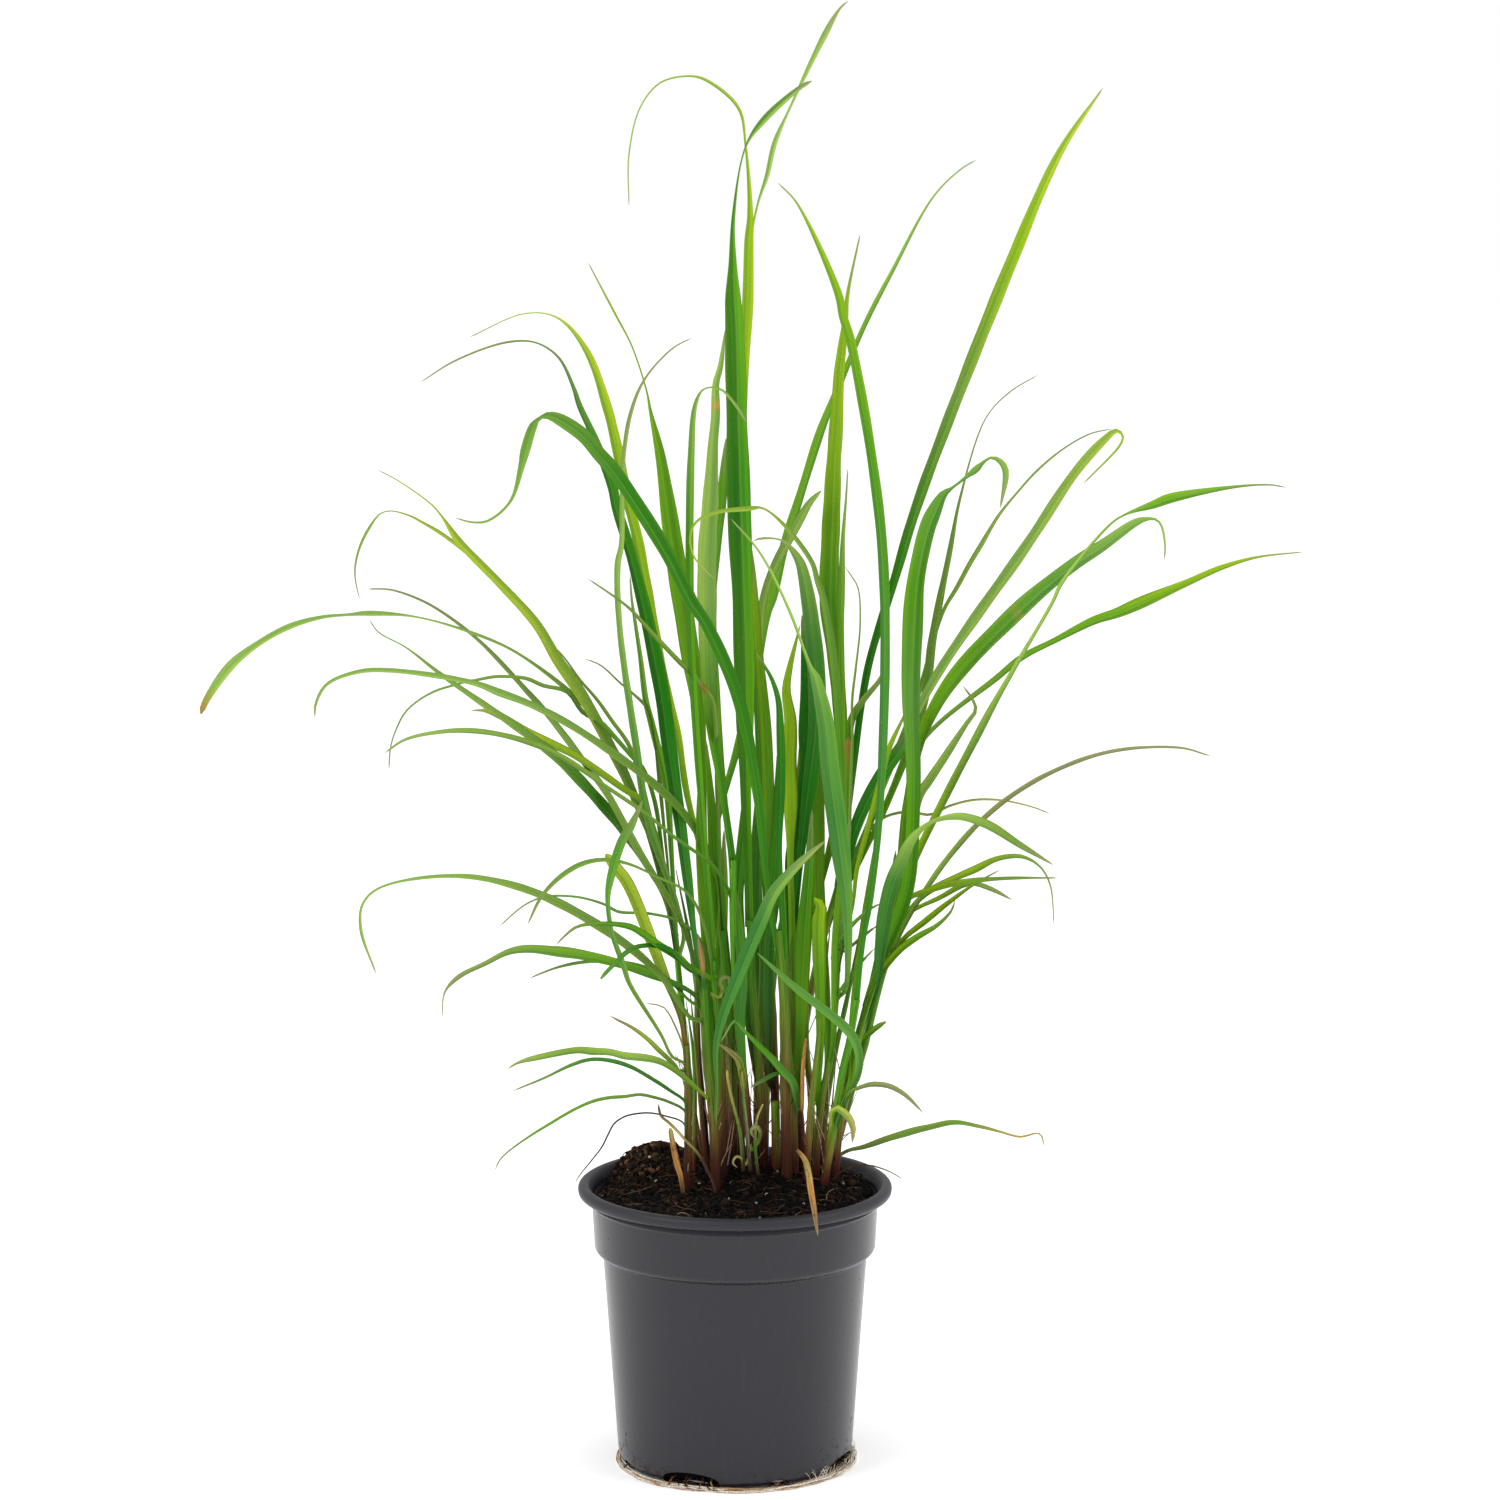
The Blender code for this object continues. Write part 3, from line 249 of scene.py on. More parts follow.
def pot_profile():
    """Up the outer wall from the middle of the underside, over the lip and down the inner wall."""
    lip_foot, lip_inside = POT_HEIGHT - LIP_HEIGHT, LIP_RADIUS - 5.0 * MM
    bead_foot, bead_radius = lip_foot - 2.4 * MM, COLLAR_TOP_RADIUS + UNDER_LIP_BEAD
    underside = ((0, 0, 0), (BOSS_RADIUS, 0, 0.3 * MM), (BOSS_RADIUS + 1 * MM, FLOOR_RECESS, 0.3 * MM),
                 (BASE_RADIUS - 8.0 * MM, FLOOR_RECESS, 0.3 * MM), (BASE_RADIUS - 7.0 * MM, 0, 0.3 * MM),
                 (BASE_RADIUS - 3.5 * MM, 0, 0.8 * MM), (BASE_RADIUS - 0.6 * MM, 2.4 * MM, 1.2 * MM))
    outside = ((BASE_RADIUS, 5.6 * MM, 1.5 * MM), (BODY_TOP_RADIUS, BODY_TOP_HEIGHT, 0.5 * MM),
               (COLLAR_FOOT_RADIUS - 1.0 * MM, BODY_TOP_HEIGHT + 1.2 * MM, 1.2 * MM),
               (COLLAR_FOOT_RADIUS, COLLAR_FOOT_HEIGHT, 1.0 * MM),
               (COLLAR_TOP_RADIUS, bead_foot - 1 * MM, 0.8 * MM), (bead_radius, bead_foot, 0.8 * MM),
               (bead_radius, lip_foot - 0.5 * MM, 0.5 * MM),
               (COLLAR_TOP_RADIUS + 0.4 * MM, lip_foot, 0.3 * MM))
    lip = ((LIP_RADIUS - 0.6 * MM, lip_foot, 1.4 * MM), (LIP_RADIUS, POT_HEIGHT - 1.6 * MM, 1.7 * MM),
           (LIP_RADIUS - 1.6 * MM, POT_HEIGHT, 1.2 * MM), (lip_inside + 1.2 * MM, POT_HEIGHT, 1.2 * MM),
           (lip_inside, POT_HEIGHT - 1.4 * MM, 1.0 * MM))
    inside = ((COLLAR_TOP_RADIUS - WALL, lip_foot - 1.0 * MM, 1.0 * MM),
              (COLLAR_FOOT_RADIUS - WALL, COLLAR_FOOT_HEIGHT + 0.8 * MM, 0.5 * MM),
              (BODY_TOP_RADIUS - WALL, BODY_TOP_HEIGHT + 1.0 * MM, 0.5 * MM),
              (BASE_RADIUS - WALL, 6.0 * MM, 1.0 * MM), (BASE_RADIUS - 3.6 * MM, FLOOR_TOP, 1.0 * MM),
              (0, FLOOR_TOP, 0))
    return rounded(underside + outside + lip + inside)


def turned(profile, sides):
    """A closed shell of revolution: the profile carried round the axis, with a point at each pole."""
    rings = around_axis(profile[1:-1, :1], circle(sides), profile[1:-1, 1:])
    count, ring = len(rings), np.arange(sides)
    points = np.vstack((rings.reshape(-1, 3), [[0, 0, profile[0, 1]], [0, 0, profile[-1, 1]]]))
    follow, last = np.roll(ring, -1), (count - 1) * sides
    low = np.stack((follow, ring, np.full(sides, count * sides)), -1)
    high = np.stack((last + ring, last + follow, np.full(sides, count * sides + 1)), -1)
    return points, (grid_faces(count, sides), low, high)


def plastic_finish():
    """Satin dark grey plastic: a faint flow grain, fine scuffs, a painted pale highlight line along the
    step at the collar's foot, soil at the foot and single specks of dirt. A speck is x and z in mm on the
    front wall, its size in mm and its colour."""
    finish = Finish("pot_plastic", {"Specular IOR Level": 0.5})
    place = finish.place()
    height = finish.node("ShaderNodeSeparateXYZ", {}, {0: place}, "Z")
    cloud = finish.noise(place, 28.0, 4.0)
    scuffs = finish.between(finish.noise(finish.stretch(place, (1, 1, 0.12)), 420.0, 3.0), 0.60, 0.72)
    splash = finish.noise(place, 260.0, 4.0, 0.7)
    low = 1.0 - finish.between(height, *SPLASHED)
    soil = finish.between(splash + low * 0.12 + cloud * 0.06, 0.70, 0.74)
    fine = finish.noise(place, 900.0, 2.0)
    pale = finish.between(fine, 0.70, 0.76) * 0.5
    lip = finish.between(height, *LIP_RISE)
    groove, step = finish.band(height, *LIP_GROOVE), finish.band(height, *STEP_HIGHLIGHT_BAND)
    colour = finish.mix(cloud, linear(10, 9, 20), linear(15, 14, 28))
    # step lays a painted pale highlight line along the collar's step; scuffs and pale specks are real
    # wear.
    colour = finish.mix(scuffs * 0.02 + pale * 0.15 + step * 0.04, colour, linear(120, 122, 124))
    for x, z, size, speck in SPECKS:
        away = finish.node("ShaderNodeVectorMath", {"operation": "DISTANCE"},
                           {0: finish.stretch(place, (1, 0, 1)), 1: (x * MM, 0, z * MM)}, 1)
        near = 1.0 - finish.between(away, 0.3 * size * MM, 0.7 * size * MM)
        colour = finish.mix(finish.between(fine, 0.5, 0.56) * near, colour, linear(*speck))
    colour = finish.mix(soil, colour, linear(24, 17, 13))
    grain = finish.noise(place, 700.0, 2.0) * 0.25 + cloud * 0.5
    rough = cloud * 0.10 + scuffs * 0.08 + soil * 0.4 + lip * 0.3 + groove * 0.6 + 0.2
    return finish.feed(Base_Color=colour, Roughness=rough,
                       Normal=finish.bump(grain + soil * 2.0, 0.06 * MM, 0.6))


def drain_cutter():
    """The drains' arched blocks: z = 0.45 h + 0.55 h sin a over a half circle, down past the foot."""
    arch = np.linspace(0, math.pi, 17)
    out = np.array((BASE_RADIUS - 8.0 * MM, BASE_RADIUS + 4.0 * MM))[:, None]
    blocks = []
    for turn, (wide, high) in DRAINS:
        side = np.concatenate(((-wide / 2, wide / 2), wide / 2 * np.cos(arch)))
        rise = np.concatenate(((-MM, -MM), high * (0.45 + 0.55 * np.sin(arch))))
        block = np.stack((out * math.cos(turn) - side * math.sin(turn),
                          out * math.sin(turn) + side * math.cos(turn), rise + 0 * out), -1)
        blocks.append((block.reshape(-1, 3), tube_faces(2, len(side))))
    points, faces = joined(blocks)
    mesh = bpy.data.meshes.new("drain_cutter")
    mesh.from_pydata(points.tolist(), [], [face for group in faces for face in group.tolist()])
    return in_scene("drain_cutter", mesh)


pot = add_piece("pot_shell", plastic_finish(), "pot_plastic", *turned(pot_profile(), POT_SIDES))
cutter = drain_cutter()
drains = pot.modifiers.new("drains", "BOOLEAN")
drains.operation, drains.object = "DIFFERENCE", cutter
bpy.context.view_layer.update()
pot.data = bpy.data.meshes.new_from_object(pot.evaluated_get(bpy.context.evaluated_depsgraph_get()))
pot.modifiers.clear()
bpy.data.objects.remove(cutter, do_unlink=True)
pot.data.set_sharp_from_angle(angle=math.radians(35))
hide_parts("pot")

# Soil
# Dark peat, fibrous and lumpy, filled to about 9 mm under the lip, mounded at the stems, with a
# brown fibrous clod at the back left. Loose crumbs, bark, perlite and fine roots lie on it.
CLEARANCE = 0.4 * MM
SOIL_EDGE = 109.0 * MM
CLUMP_PLACE, CLUMP_RISE, CLUMP_SPREAD = (14.0 * MM, 20.0 * MM), 10.0 * MM, 30.0 * MM
HEAP_PLACE, HEAP_RISE, HEAP_SPREAD = (-36.0 * MM, 34.0 * MM), 14.0 * MM, 13.0 * MM
HEAP_CRUMBS, HEAP_FIBRES = 20.0 * MM, 24.0 * MM
# Where painted shade darkens the crumbs, in front of the stems under the leaves, and how far it spreads.
SHADED_SOIL_PLACE, SHADED_SOIL_SPREAD = (14.0 * MM, -12.0 * MM), 30.0 * MM
MOSSY_LEFT = -18.0 * MM
SOIL_ROOM = COLLAR_TOP_RADIUS - WALL - 1.0 * MM
THREAD_SIDES = 5
PEAT, UMBER, CHESTNUT = linear(9, 7, 6), linear(28, 20, 15), linear(66, 44, 29)
FIBRE, PALE_ROOT, PERLITE = linear(112, 80, 54), linear(178, 156, 126), linear(214, 214, 206)
MOSS = linear(74, 68, 36)


def distance_from(place, x, y):
    return np.hypot(x - place[0], y - place[1])


def soil_height(x, y):
    """A level edge, plus a bell-shaped mound at the stems and another for the heap, plus waves."""
    clump = distance_from(CLUMP_PLACE, x, y) / CLUMP_SPREAD
    heap = distance_from(HEAP_PLACE, x, y) / HEAP_SPREAD
    waves = 0.9 * MM * np.sin(x / (5 * MM)) * np.cos(y / (6 * MM)) * np.minimum(1.0, clump ** 4)
    return SOIL_EDGE + CLUMP_RISE * np.exp(-clump ** 2 / 2) + HEAP_RISE * np.exp(-heap ** 2 / 2) + waves


def soil_points(x, y, above=0.0):
    """Points at x and y, at the soil's height or so much above it."""
    return np.stack((x, y, soil_height(x, y) + above), -1)


def lumps(x, y, size, seed):
    """Billows between 0 and 1: the mean of |sin| waves in a dozen random directions."""
    draw = np.random.default_rng(seed)
    total = np.zeros(np.shape(x))
    for turn, phase, pitch in zip(draw.uniform(0, math.pi, 12), draw.uniform(0, 6, 12),
                                  draw.uniform(0.6, 1.6, 12)):
        total += np.abs(np.sin((x * math.cos(turn) + y * math.sin(turn)) / size * pitch + phase))
    return total / 12


def soil_finish(name, roughness):
    """Each point's own tone, broken up by grains, never glossy."""
    finish = Finish(name, {"Roughness": roughness, "Specular IOR Level": 0.12})
    place = finish.place()
    grain = finish.noise(place, 1400.0, 4.0, 0.7)
    shade = finish.noise(place, 300.0, 3.0)
    colour = finish.shaded(finish.between(grain, 0.35, 0.7), finish.attribute("tone", "Color"),
                           (0.55,) * 3, (1.35,) * 3)
    return finish.feed(Base_Color=colour, Normal=finish.bump(grain + shade, 0.35 * MM))


def soil_plug():
    """Rings up the pot's wall from its floor, and then in over the top to its middle. On top,
    z = soil height + 2.2 mm of coarse and 0.9 mm of fine billows."""
    gap, angle = CLEARANCE + WALL, circle(220)
    reach = SOIL_ROOM * np.linspace(0.012, 1.0, 90)[::-1, None]
    x, y = reach * np.cos(angle), reach * np.sin(angle)
    relief = 2.2 * MM * (lumps(x, y, 2.6 * MM, 1) - 0.6) + 0.9 * MM * (lumps(x, y, 0.9 * MM, 2) - 0.6)
    wall = np.array(((BASE_RADIUS - 4.4 * MM, FLOOR_TOP + CLEARANCE), (BASE_RADIUS - gap, 7.0 * MM),
                     (BODY_TOP_RADIUS - gap, BODY_TOP_HEIGHT + 1.4 * MM),
                     (COLLAR_FOOT_RADIUS - gap - 0.2 * MM, COLLAR_FOOT_HEIGHT + 2.0 * MM)))
    rings = np.vstack((around_axis(wall[:, :1], angle, wall[:, 1:]), soil_points(x, y, relief)))
    points = rings.reshape(-1, 3)
    x, y = points[:, 0], points[:, 1]
    brown = np.exp(-distance_from(HEAP_PLACE, x, y) / (18 * MM)) * lumps(x, y, 3 * MM, 3)
    return points, tube_faces(*rings.shape[:2]), PEAT + (UMBER - PEAT) * brown[:, None]


soil = add_piece("soil_plug", soil_finish("peat", 0.95), "soil", *soil_plug())
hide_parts("soil")

golden = (1 + math.sqrt(5)) / 2
CRUMB_POINTS = np.array([(0, a, b) for a in (-1, 1) for b in (-golden, golden)])
CRUMB_POINTS = np.vstack([np.roll(CRUMB_POINTS, turn, axis=1) for turn in range(3)])
CRUMB_POINTS /= math.hypot(1, golden)
CRUMB_CORNERS = len(CRUMB_POINTS)


def crumb_faces():
    """The 20 faces of the icosahedron: every three corners that are neighbours, wound outwards."""
    near = np.linalg.norm(CRUMB_POINTS[:, None] - CRUMB_POINTS[None], axis=-1) < 1.2
    corners = np.array([(a, b, c) for a, b, c in itertools.combinations(range(CRUMB_CORNERS), 3)
                        if near[a, b] and near[b, c] and near[a, c]])
    p, q, r = (CRUMB_POINTS[corners[:, k]] for k in range(3))
    inward = np.sum(np.cross(q - p, r - p) * p, axis=1) < 0
    corners[inward] = corners[inward][:, ::-1]
    return corners


def spun_about(vectors, draw):
    """Random rotations, one for each group of vectors, from random unit quaternions."""
    turns = draw.normal(size=(len(vectors), 4))
    w, x, y, z = (turns / np.linalg.norm(turns, axis=1, keepdims=True)).T
    rows = np.stack((1 - 2 * (y * y + z * z), 2 * (x * y - w * z), 2 * (x * z + w * y),
                     2 * (x * y + w * z), 1 - 2 * (x * x + z * z), 2 * (y * z - w * x),
                     2 * (x * z - w * y), 2 * (y * z + w * x), 1 - 2 * (x * x + y * y)), -1)
    return np.einsum("nij,nkj->nki", rows.reshape(-1, 3, 3), vectors)


def crumbs(centres, sizes, flatness, draw):
    """Many crumbs in one mesh: an icosahedron each, its corners pulled in or out by up to 35%,
    squashed to its flatness, turned at random and set at its centre."""
    shapes = CRUMB_POINTS[None] * draw.uniform(0.65, 1.35, (len(centres), CRUMB_CORNERS, 1))
    shapes[..., 2] *= flatness[:, None]
    points = spun_about(shapes, draw) * sizes[:, None, None] + centres[:, None]
    faces = crumb_faces()[None] + CRUMB_CORNERS * np.arange(len(centres))[:, None, None]
    return points.reshape(-1, 3), (faces.reshape(-1, 3),)


def scatter(count, draw, inner=0.0, outer=SOIL_ROOM):
    """Points spread evenly over the soil between two radii, as x, y and the soil's height."""
    reach = np.sqrt(draw.uniform(inner ** 2, outer ** 2, count))
    angle = draw.uniform(0, 2 * math.pi, count)
    return soil_points(reach * np.cos(angle), reach * np.sin(angle))


def toned(draw, count, tones, corners):
    """One tone for each thing, drawn between neighbouring tones of a list, repeated at its corners."""
    tones, place = np.array(tones), draw.uniform(0, len(tones) - 1, count)
    low = np.minimum(place.astype(int), len(tones) - 2)
    return np.repeat(tones[low] + (tones[low + 1] - tones[low]) * (place - low)[:, None], corners, axis=0)


draw = np.random.default_rng(11)
on_soil = scatter(5200, draw)
near_heap = scatter(9000, draw)
near_heap = near_heap[distance_from(HEAP_PLACE, near_heap[:, 0], near_heap[:, 1]) < HEAP_CRUMBS]
centres = np.vstack((on_soil, near_heap))
sizes = np.minimum(draw.gamma(3.0, 0.22, len(centres)) * MM + 0.25 * MM, 2.4 * MM)
centres[:, 2] += sizes * 0.25
crumb_tones = np.vstack((
    toned(draw, len(on_soil), (PEAT * 0.5, PEAT * 0.5, PEAT, PEAT, UMBER, CHESTNUT), CRUMB_CORNERS),
    toned(draw, len(near_heap), (PEAT, PEAT, UMBER, CHESTNUT, FIBRE), CRUMB_CORNERS)))
# Painted shade: crumbs in front of the stems, under the leaves, are darkened by up to three quarters.
soil_shade = np.exp(-(distance_from(SHADED_SOIL_PLACE, centres[:, 0], centres[:, 1]) / SHADED_SOIL_SPREAD) ** 2)
crumb_tones = crumb_tones * (1 - 0.75 * np.repeat(soil_shade, CRUMB_CORNERS))[:, None]
mossy = (centres[:, 0] < MOSSY_LEFT) & (draw.uniform(size=len(centres)) < 0.05)
crumb_tones[np.repeat(mossy, CRUMB_CORNERS)] = MOSS
add_piece("peat_crumbs", soil_finish("peat_crumbs", 0.9), "soil",
          *crumbs(centres, sizes, draw.uniform(0.35, 1.0, len(centres)), draw), crumb_tones)

grains = scatter(56, draw, outer=SOIL_ROOM - 1 * MM)
sizes = draw.uniform(0.25, 0.75, len(grains)) * MM
grains[:, 2] += sizes * 0.6 + 0.6 * MM
add_piece("perlite", soil_finish("perlite", 0.8), "soil",
          *crumbs(grains, sizes, draw.uniform(0.7, 1.0, len(grains)), draw),
          toned(draw, len(grains), (PERLITE * 0.2, PERLITE * 0.5, PERLITE), CRUMB_CORNERS))


def unit(vectors):
    return vectors / np.linalg.norm(vectors, axis=-1, keepdims=True)


def strands(lines, thickness, sides=THREAD_SIDES):
    """Many threads in one mesh: (threads, steps, 3) lines, each a tube of points
    p + r (n cos a + b sin a) round its line, its radius r down to a half where it starts and to a
    third where it ends."""
    threads, steps = lines.shape[:2]
    tangent = unit(np.gradient(lines, axis=1))
    up = np.where(np.abs(tangent[..., 2:]) < 0.8, (0.0, 0.0, 1.0), (1.0, 0.0, 0.0))
    normal = unit(np.cross(tangent, up))
    other = np.cross(tangent, normal)
    angle = circle(sides)[:, None]
    taper = np.interp(np.linspace(0, 1, steps), (0, 0.1, 0.8, 1), (0.5, 1, 1, 0.3))
    radius = (thickness[:, None] / 2 * taper)[..., None, None]
    rings = lines[:, :, None] + radius * (normal[:, :, None] * np.cos(angle)
                                          + other[:, :, None] * np.sin(angle))
    start = (np.arange(threads) * steps * sides)[:, None, None]
    walls, ends = (group[None] + start for group in tube_faces(steps, sides))
    return rings.reshape(-1, 3), (walls.reshape(-1, 4), ends.reshape(-1, sides))


def add_threads(name, lines, thickness, roughness, slot, tones, draw, sides=THREAD_SIDES):
    """A piece of threads, each drawn between two thicknesses in mm and between the tones."""
    shapes = strands(lines, draw.uniform(*thickness, len(lines)) * MM, sides)
    return add_piece(name, soil_finish(name, roughness), slot, *shapes,
                     toned(draw, len(lines), tones, lines.shape[1] * sides))


def lying_threads(starts, length, lift, wander, draw):
    """Threads on the soil: each walks on from its start, its heading turned a little at each of 13
    steps by a random amount, at the soil's height plus an arch. length and lift are ranges in mm."""
    steps, count = 13, len(starts)
    lengths, lifts = draw.uniform(*length, (count, 1)) * MM, draw.uniform(*lift, (count, 1)) * MM
    heading = draw.uniform(0, 2 * math.pi, (count, 1))
    heading = heading + np.cumsum(draw.normal(0, wander, (count, steps)), axis=1)
    x = starts[:, :1] + np.cumsum(np.cos(heading) * (lengths / steps), axis=1)
    y = starts[:, 1:2] + np.cumsum(np.sin(heading) * (lengths / steps), axis=1)
    inside = np.minimum(1.0, (SOIL_ROOM - 0.6 * MM) / np.hypot(x, y))
    return soil_points(x * inside, y * inside, 0.5 * MM + np.sin(np.linspace(0, math.pi, steps)) * lifts)


starts = scatter(900, draw)
heap_starts = starts[distance_from(HEAP_PLACE, starts[:, 0], starts[:, 1]) < HEAP_FIBRES]
starts = np.vstack((starts[:520], np.repeat(heap_starts, 3, axis=0)))
threads = lying_threads(starts, (3, 16), (0, 1.4), 0.35, draw)
add_threads("peat_fibres", threads, (0.12, 0.45), 0.85, "soil",
            (PEAT, UMBER, CHESTNUT, CHESTNUT, FIBRE), draw, 4)

threads = lying_threads(scatter(60, draw, inner=20 * MM), (8, 28), (0, 2.5), 0.3, draw)
add_threads("surface_roots", threads, (0.25, 0.5), 0.75, "roots",
            (UMBER, CHESTNUT, CHESTNUT, FIBRE, PALE_ROOT), draw)

# Roots at the foot
# Fine pale roots have grown out of the drains. They are matted into a loose wreath that the pot
# stands in, with single roots that cross the drains and a fuzz of root hairs at the right.
RING_RADIUS, RING_HEIGHT, RING_FOOT = 48.5 * MM, 1.7 * MM, 0.35 * MM
ROOT_STEPS = 40
ROOT_TAN, ROOT_ORANGE, ROOT_WHITE = linear(204, 172, 130), linear(164, 112, 66), linear(240, 234, 222)


def wreath(count, draw):
    """Arcs round the foot: radius and height each wander on two slow sine waves of their own, less
    at the left, where the wreath is thin."""
    start, length = draw.uniform(0, 2 * math.pi, (count, 1)), draw.uniform(0.35, 2.4, (count, 1))
    angle = start + length * np.linspace(0, 1, ROOT_STEPS)
    middle = RING_RADIUS + draw.normal(0.2, 0.9, (count, 1)) * MM
    sway = draw.uniform(0.2, 1.0, (count, 1)) * MM
    phase, pitch = draw.uniform(0, 6, (2, count, 1)), draw.uniform(2, 9, (2, count, 1))
    radius = middle + sway * np.sin(pitch[0] * angle + phase[0])
    radius = radius + 0.25 * MM * np.sin(23 * angle + phase[1])
    height = (RING_HEIGHT - 0.4 * MM) * draw.uniform(0, 1, (count, 1)) * (
        0.5 + 0.5 * np.sin(pitch[1] * angle + phase[1]))
    thin = 1 - 0.6 * np.exp(-(np.mod(angle, 2 * math.pi) - math.pi) ** 2 / 0.3)
    height = RING_FOOT + height * thin
    radius = RING_RADIUS + (radius - RING_RADIUS) * thin
    clear = BASE_RADIUS + 0.3 * MM - np.maximum(0, 2.4 * MM - height)
    return around_axis(np.maximum(radius, clear), angle, height)


def drain_roots(draw):
    """Roots that leave the soil in a drain, drop over its foot and turn along the wreath, and a dark
    mat of others that lies across the drain under the floor."""
    lines, bend, corners = [], np.linspace(0, 1, ROOT_STEPS), (0, 0.3, 0.7, 1)
    out = BASE_RADIUS + MM * np.interp(bend, corners, (-5.5, -0.5, 0.8, 1.0))
    for turn, size in DRAINS:
        reach = size[0] / BASE_RADIUS
        hanging, matted = (9, 26) if size == WIDE_DRAIN else (2, 10)
        for _ in range(hanging):
            foot = turn + draw.uniform(-0.42, 0.42) * reach
            angle = foot + draw.uniform(-0.22, 0.22) * bend ** 2
            fall = (draw.uniform(4, 5.6), draw.uniform(3, 4.4), 0.6, 0.4)
            lines.append(around_axis(out, angle, MM * np.interp(bend, corners, fall)))
        for _ in range(matted):
            angle = turn + np.linspace(-0.55, 0.55, ROOT_STEPS) * reach
            sway, dip = (np.sin(pace * angle + draw.uniform(0, 6)) * MM for pace in (40, 55))
            radius = BASE_RADIUS - draw.uniform(1.4, 6.5) * MM + 0.4 * sway
            lines.append(around_axis(radius, angle, draw.uniform(0.65, 1.4) * MM + 0.2 * dip))
    return np.array(lines)


def root_hairs(count, draw):
    """Short hairs at the front right of the foot, each a quarter turn up and out of the wreath."""
    swing = draw.uniform(-0.12, 0.12, (count, 1)) * np.linspace(0, 1, ROOT_STEPS)
    angle = draw.uniform(-0.9, 0.15, (count, 1)) + swing
    bend = np.linspace(0, math.pi / 2, ROOT_STEPS)
    rise, reach = draw.uniform(1, 6, (count, 1)) * MM, draw.uniform(-0.2, 1.6, (count, 1)) * MM
    radius = BASE_RADIUS + 0.7 * MM + reach * (1 - np.cos(bend))
    return around_axis(radius, angle, 0.5 * MM + rise * np.sin(bend))


draw = np.random.default_rng(23)
ROOT_KINDS = ((wreath(120, draw), (0.2, 0.6), (ROOT_ORANGE, ROOT_TAN, ROOT_WHITE, ROOT_WHITE)),
              (drain_roots(draw), (0.25, 0.75), (PEAT, UMBER, CHESTNUT, FIBRE, ROOT_TAN)),
              (root_hairs(90, draw), (0.08, 0.22), (ROOT_TAN, ROOT_WHITE, ROOT_WHITE)))
thickness = np.concatenate([draw.uniform(*limits, len(lines)) for lines, limits, _ in ROOT_KINDS]) * MM
root_tones = np.vstack([toned(draw, len(lines), tones, ROOT_STEPS * THREAD_SIDES)
                        for lines, _, tones in ROOT_KINDS])
root_lines = np.concatenate([lines for lines, _, _ in ROOT_KINDS])
foot_roots = add_piece("foot_roots", soil_finish("foot_roots", 0.7), "roots",
                       *strands(root_lines, thickness), root_tones)
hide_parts("root_ring")

# Stems
# Sixteen main stems, each a roll of leaf sheaths, reddish brown at the foot, then olive and green, with
# painted shade that darkens them to near black just above the soil.
# They grow in one clump out of the soil. Each route is points of a front view 1500 steps wide, set
# back step by step from the foot's depth to the depth at the top, both in mm.
EYE = np.array((6.2 * MM, -2.13, 0.65))
VIEW_PITCH = math.radians(9.37)
FOCAL, PICTURE_WIDTH = 5300.0, 1500.0
FOOT_PY = 1170.0
STEM_SUNK, STEM_SIDES = 4.0 * MM, 22
STEMS = {
    "stem_01": dict(foot=(687, 2), route=((688, 1110), (686, 1045)), depth=-2, diameter=3.4),
    "stem_02": dict(foot=(716, 0), route=((713, 1120), (707, 1060), (703, 985)), depth=-4, diameter=4.2),
    "stem_03": dict(foot=(724, 10), route=((722, 1110), (721, 1050), (714, 960)), depth=6, diameter=4.0),
    "stem_04": dict(foot=(733, 21), route=((733, 1085), (729, 1010), (722, 930)), depth=16,
                    diameter=3.6, greener=8),
    "stem_05": dict(foot=(698, 38), route=((692, 1100), (684, 1030), (675, 930)), depth=44,
                    diameter=2.9, greener=8),
    "stem_06": dict(foot=(752, 8), route=((746, 1100), (738, 1020), (733, 930), (733, 860)),
                    depth=0, diameter=3.4),
    "stem_07": dict(foot=(765, 17), route=((762, 1100), (757, 1040), (753, 985), (750, 920)),
                    depth=10, diameter=3.6),
    "stem_08": dict(foot=(776, 29), route=((775, 1100), (772, 1010), (768, 930)), depth=26, diameter=3.8,
                    greener=-14),
    "stem_09": dict(foot=(787, 7), route=((785, 1060), (784, 1000), (778, 930)), depth=-4, diameter=4.2,
                    greener=-14),
    "stem_10": dict(foot=(803, 20), route=((801, 1130), (797, 1080), (793, 1000), (792, 930)),
                    depth=22, diameter=3.4),
    "stem_11": dict(foot=(815, 11), route=((822, 1100), (830, 1060), (835, 1010), (838, 950)),
                    depth=0, diameter=3.2, greener=24),
    "stem_12": dict(foot=(824, 2), route=((838, 1100), (843, 1070), (850, 1040), (857, 1000)),
                    depth=-9, diameter=3.4, greener=28),
    "stem_13": dict(foot=(829, 18), route=((834, 1120), (846, 1075), (858, 1038), (868, 1000)),
                    depth=10, diameter=3.9, greener=32),
    "stem_14": dict(foot=(832, 32), route=((848, 1105), (864, 1050), (879, 990), (890, 950)),
                    depth=32, diameter=3.0, greener=32),
    "stem_15": dict(foot=(742, 46), route=((735, 1060), (722, 960), (705, 880)), depth=62, diameter=3.4),
    "stem_16": dict(foot=(790, 44), route=((800, 1060), (818, 960), (840, 880)), depth=60, diameter=3.4),
}
# Tones by height above the soil's edge in mm: reddish brown, then olive and green; the two lowest, near
# black, are painted shade at the soil.
STEM_TONES_AND_FOOT_SHADE = {0: linear(8, 6, 5), 7: linear(28, 13, 11), 17: linear(72, 27, 20),
              28: linear(88, 50, 27), 44: linear(114, 100, 38), 66: linear(98, 128, 26),
              110: linear(72, 136, 10)}


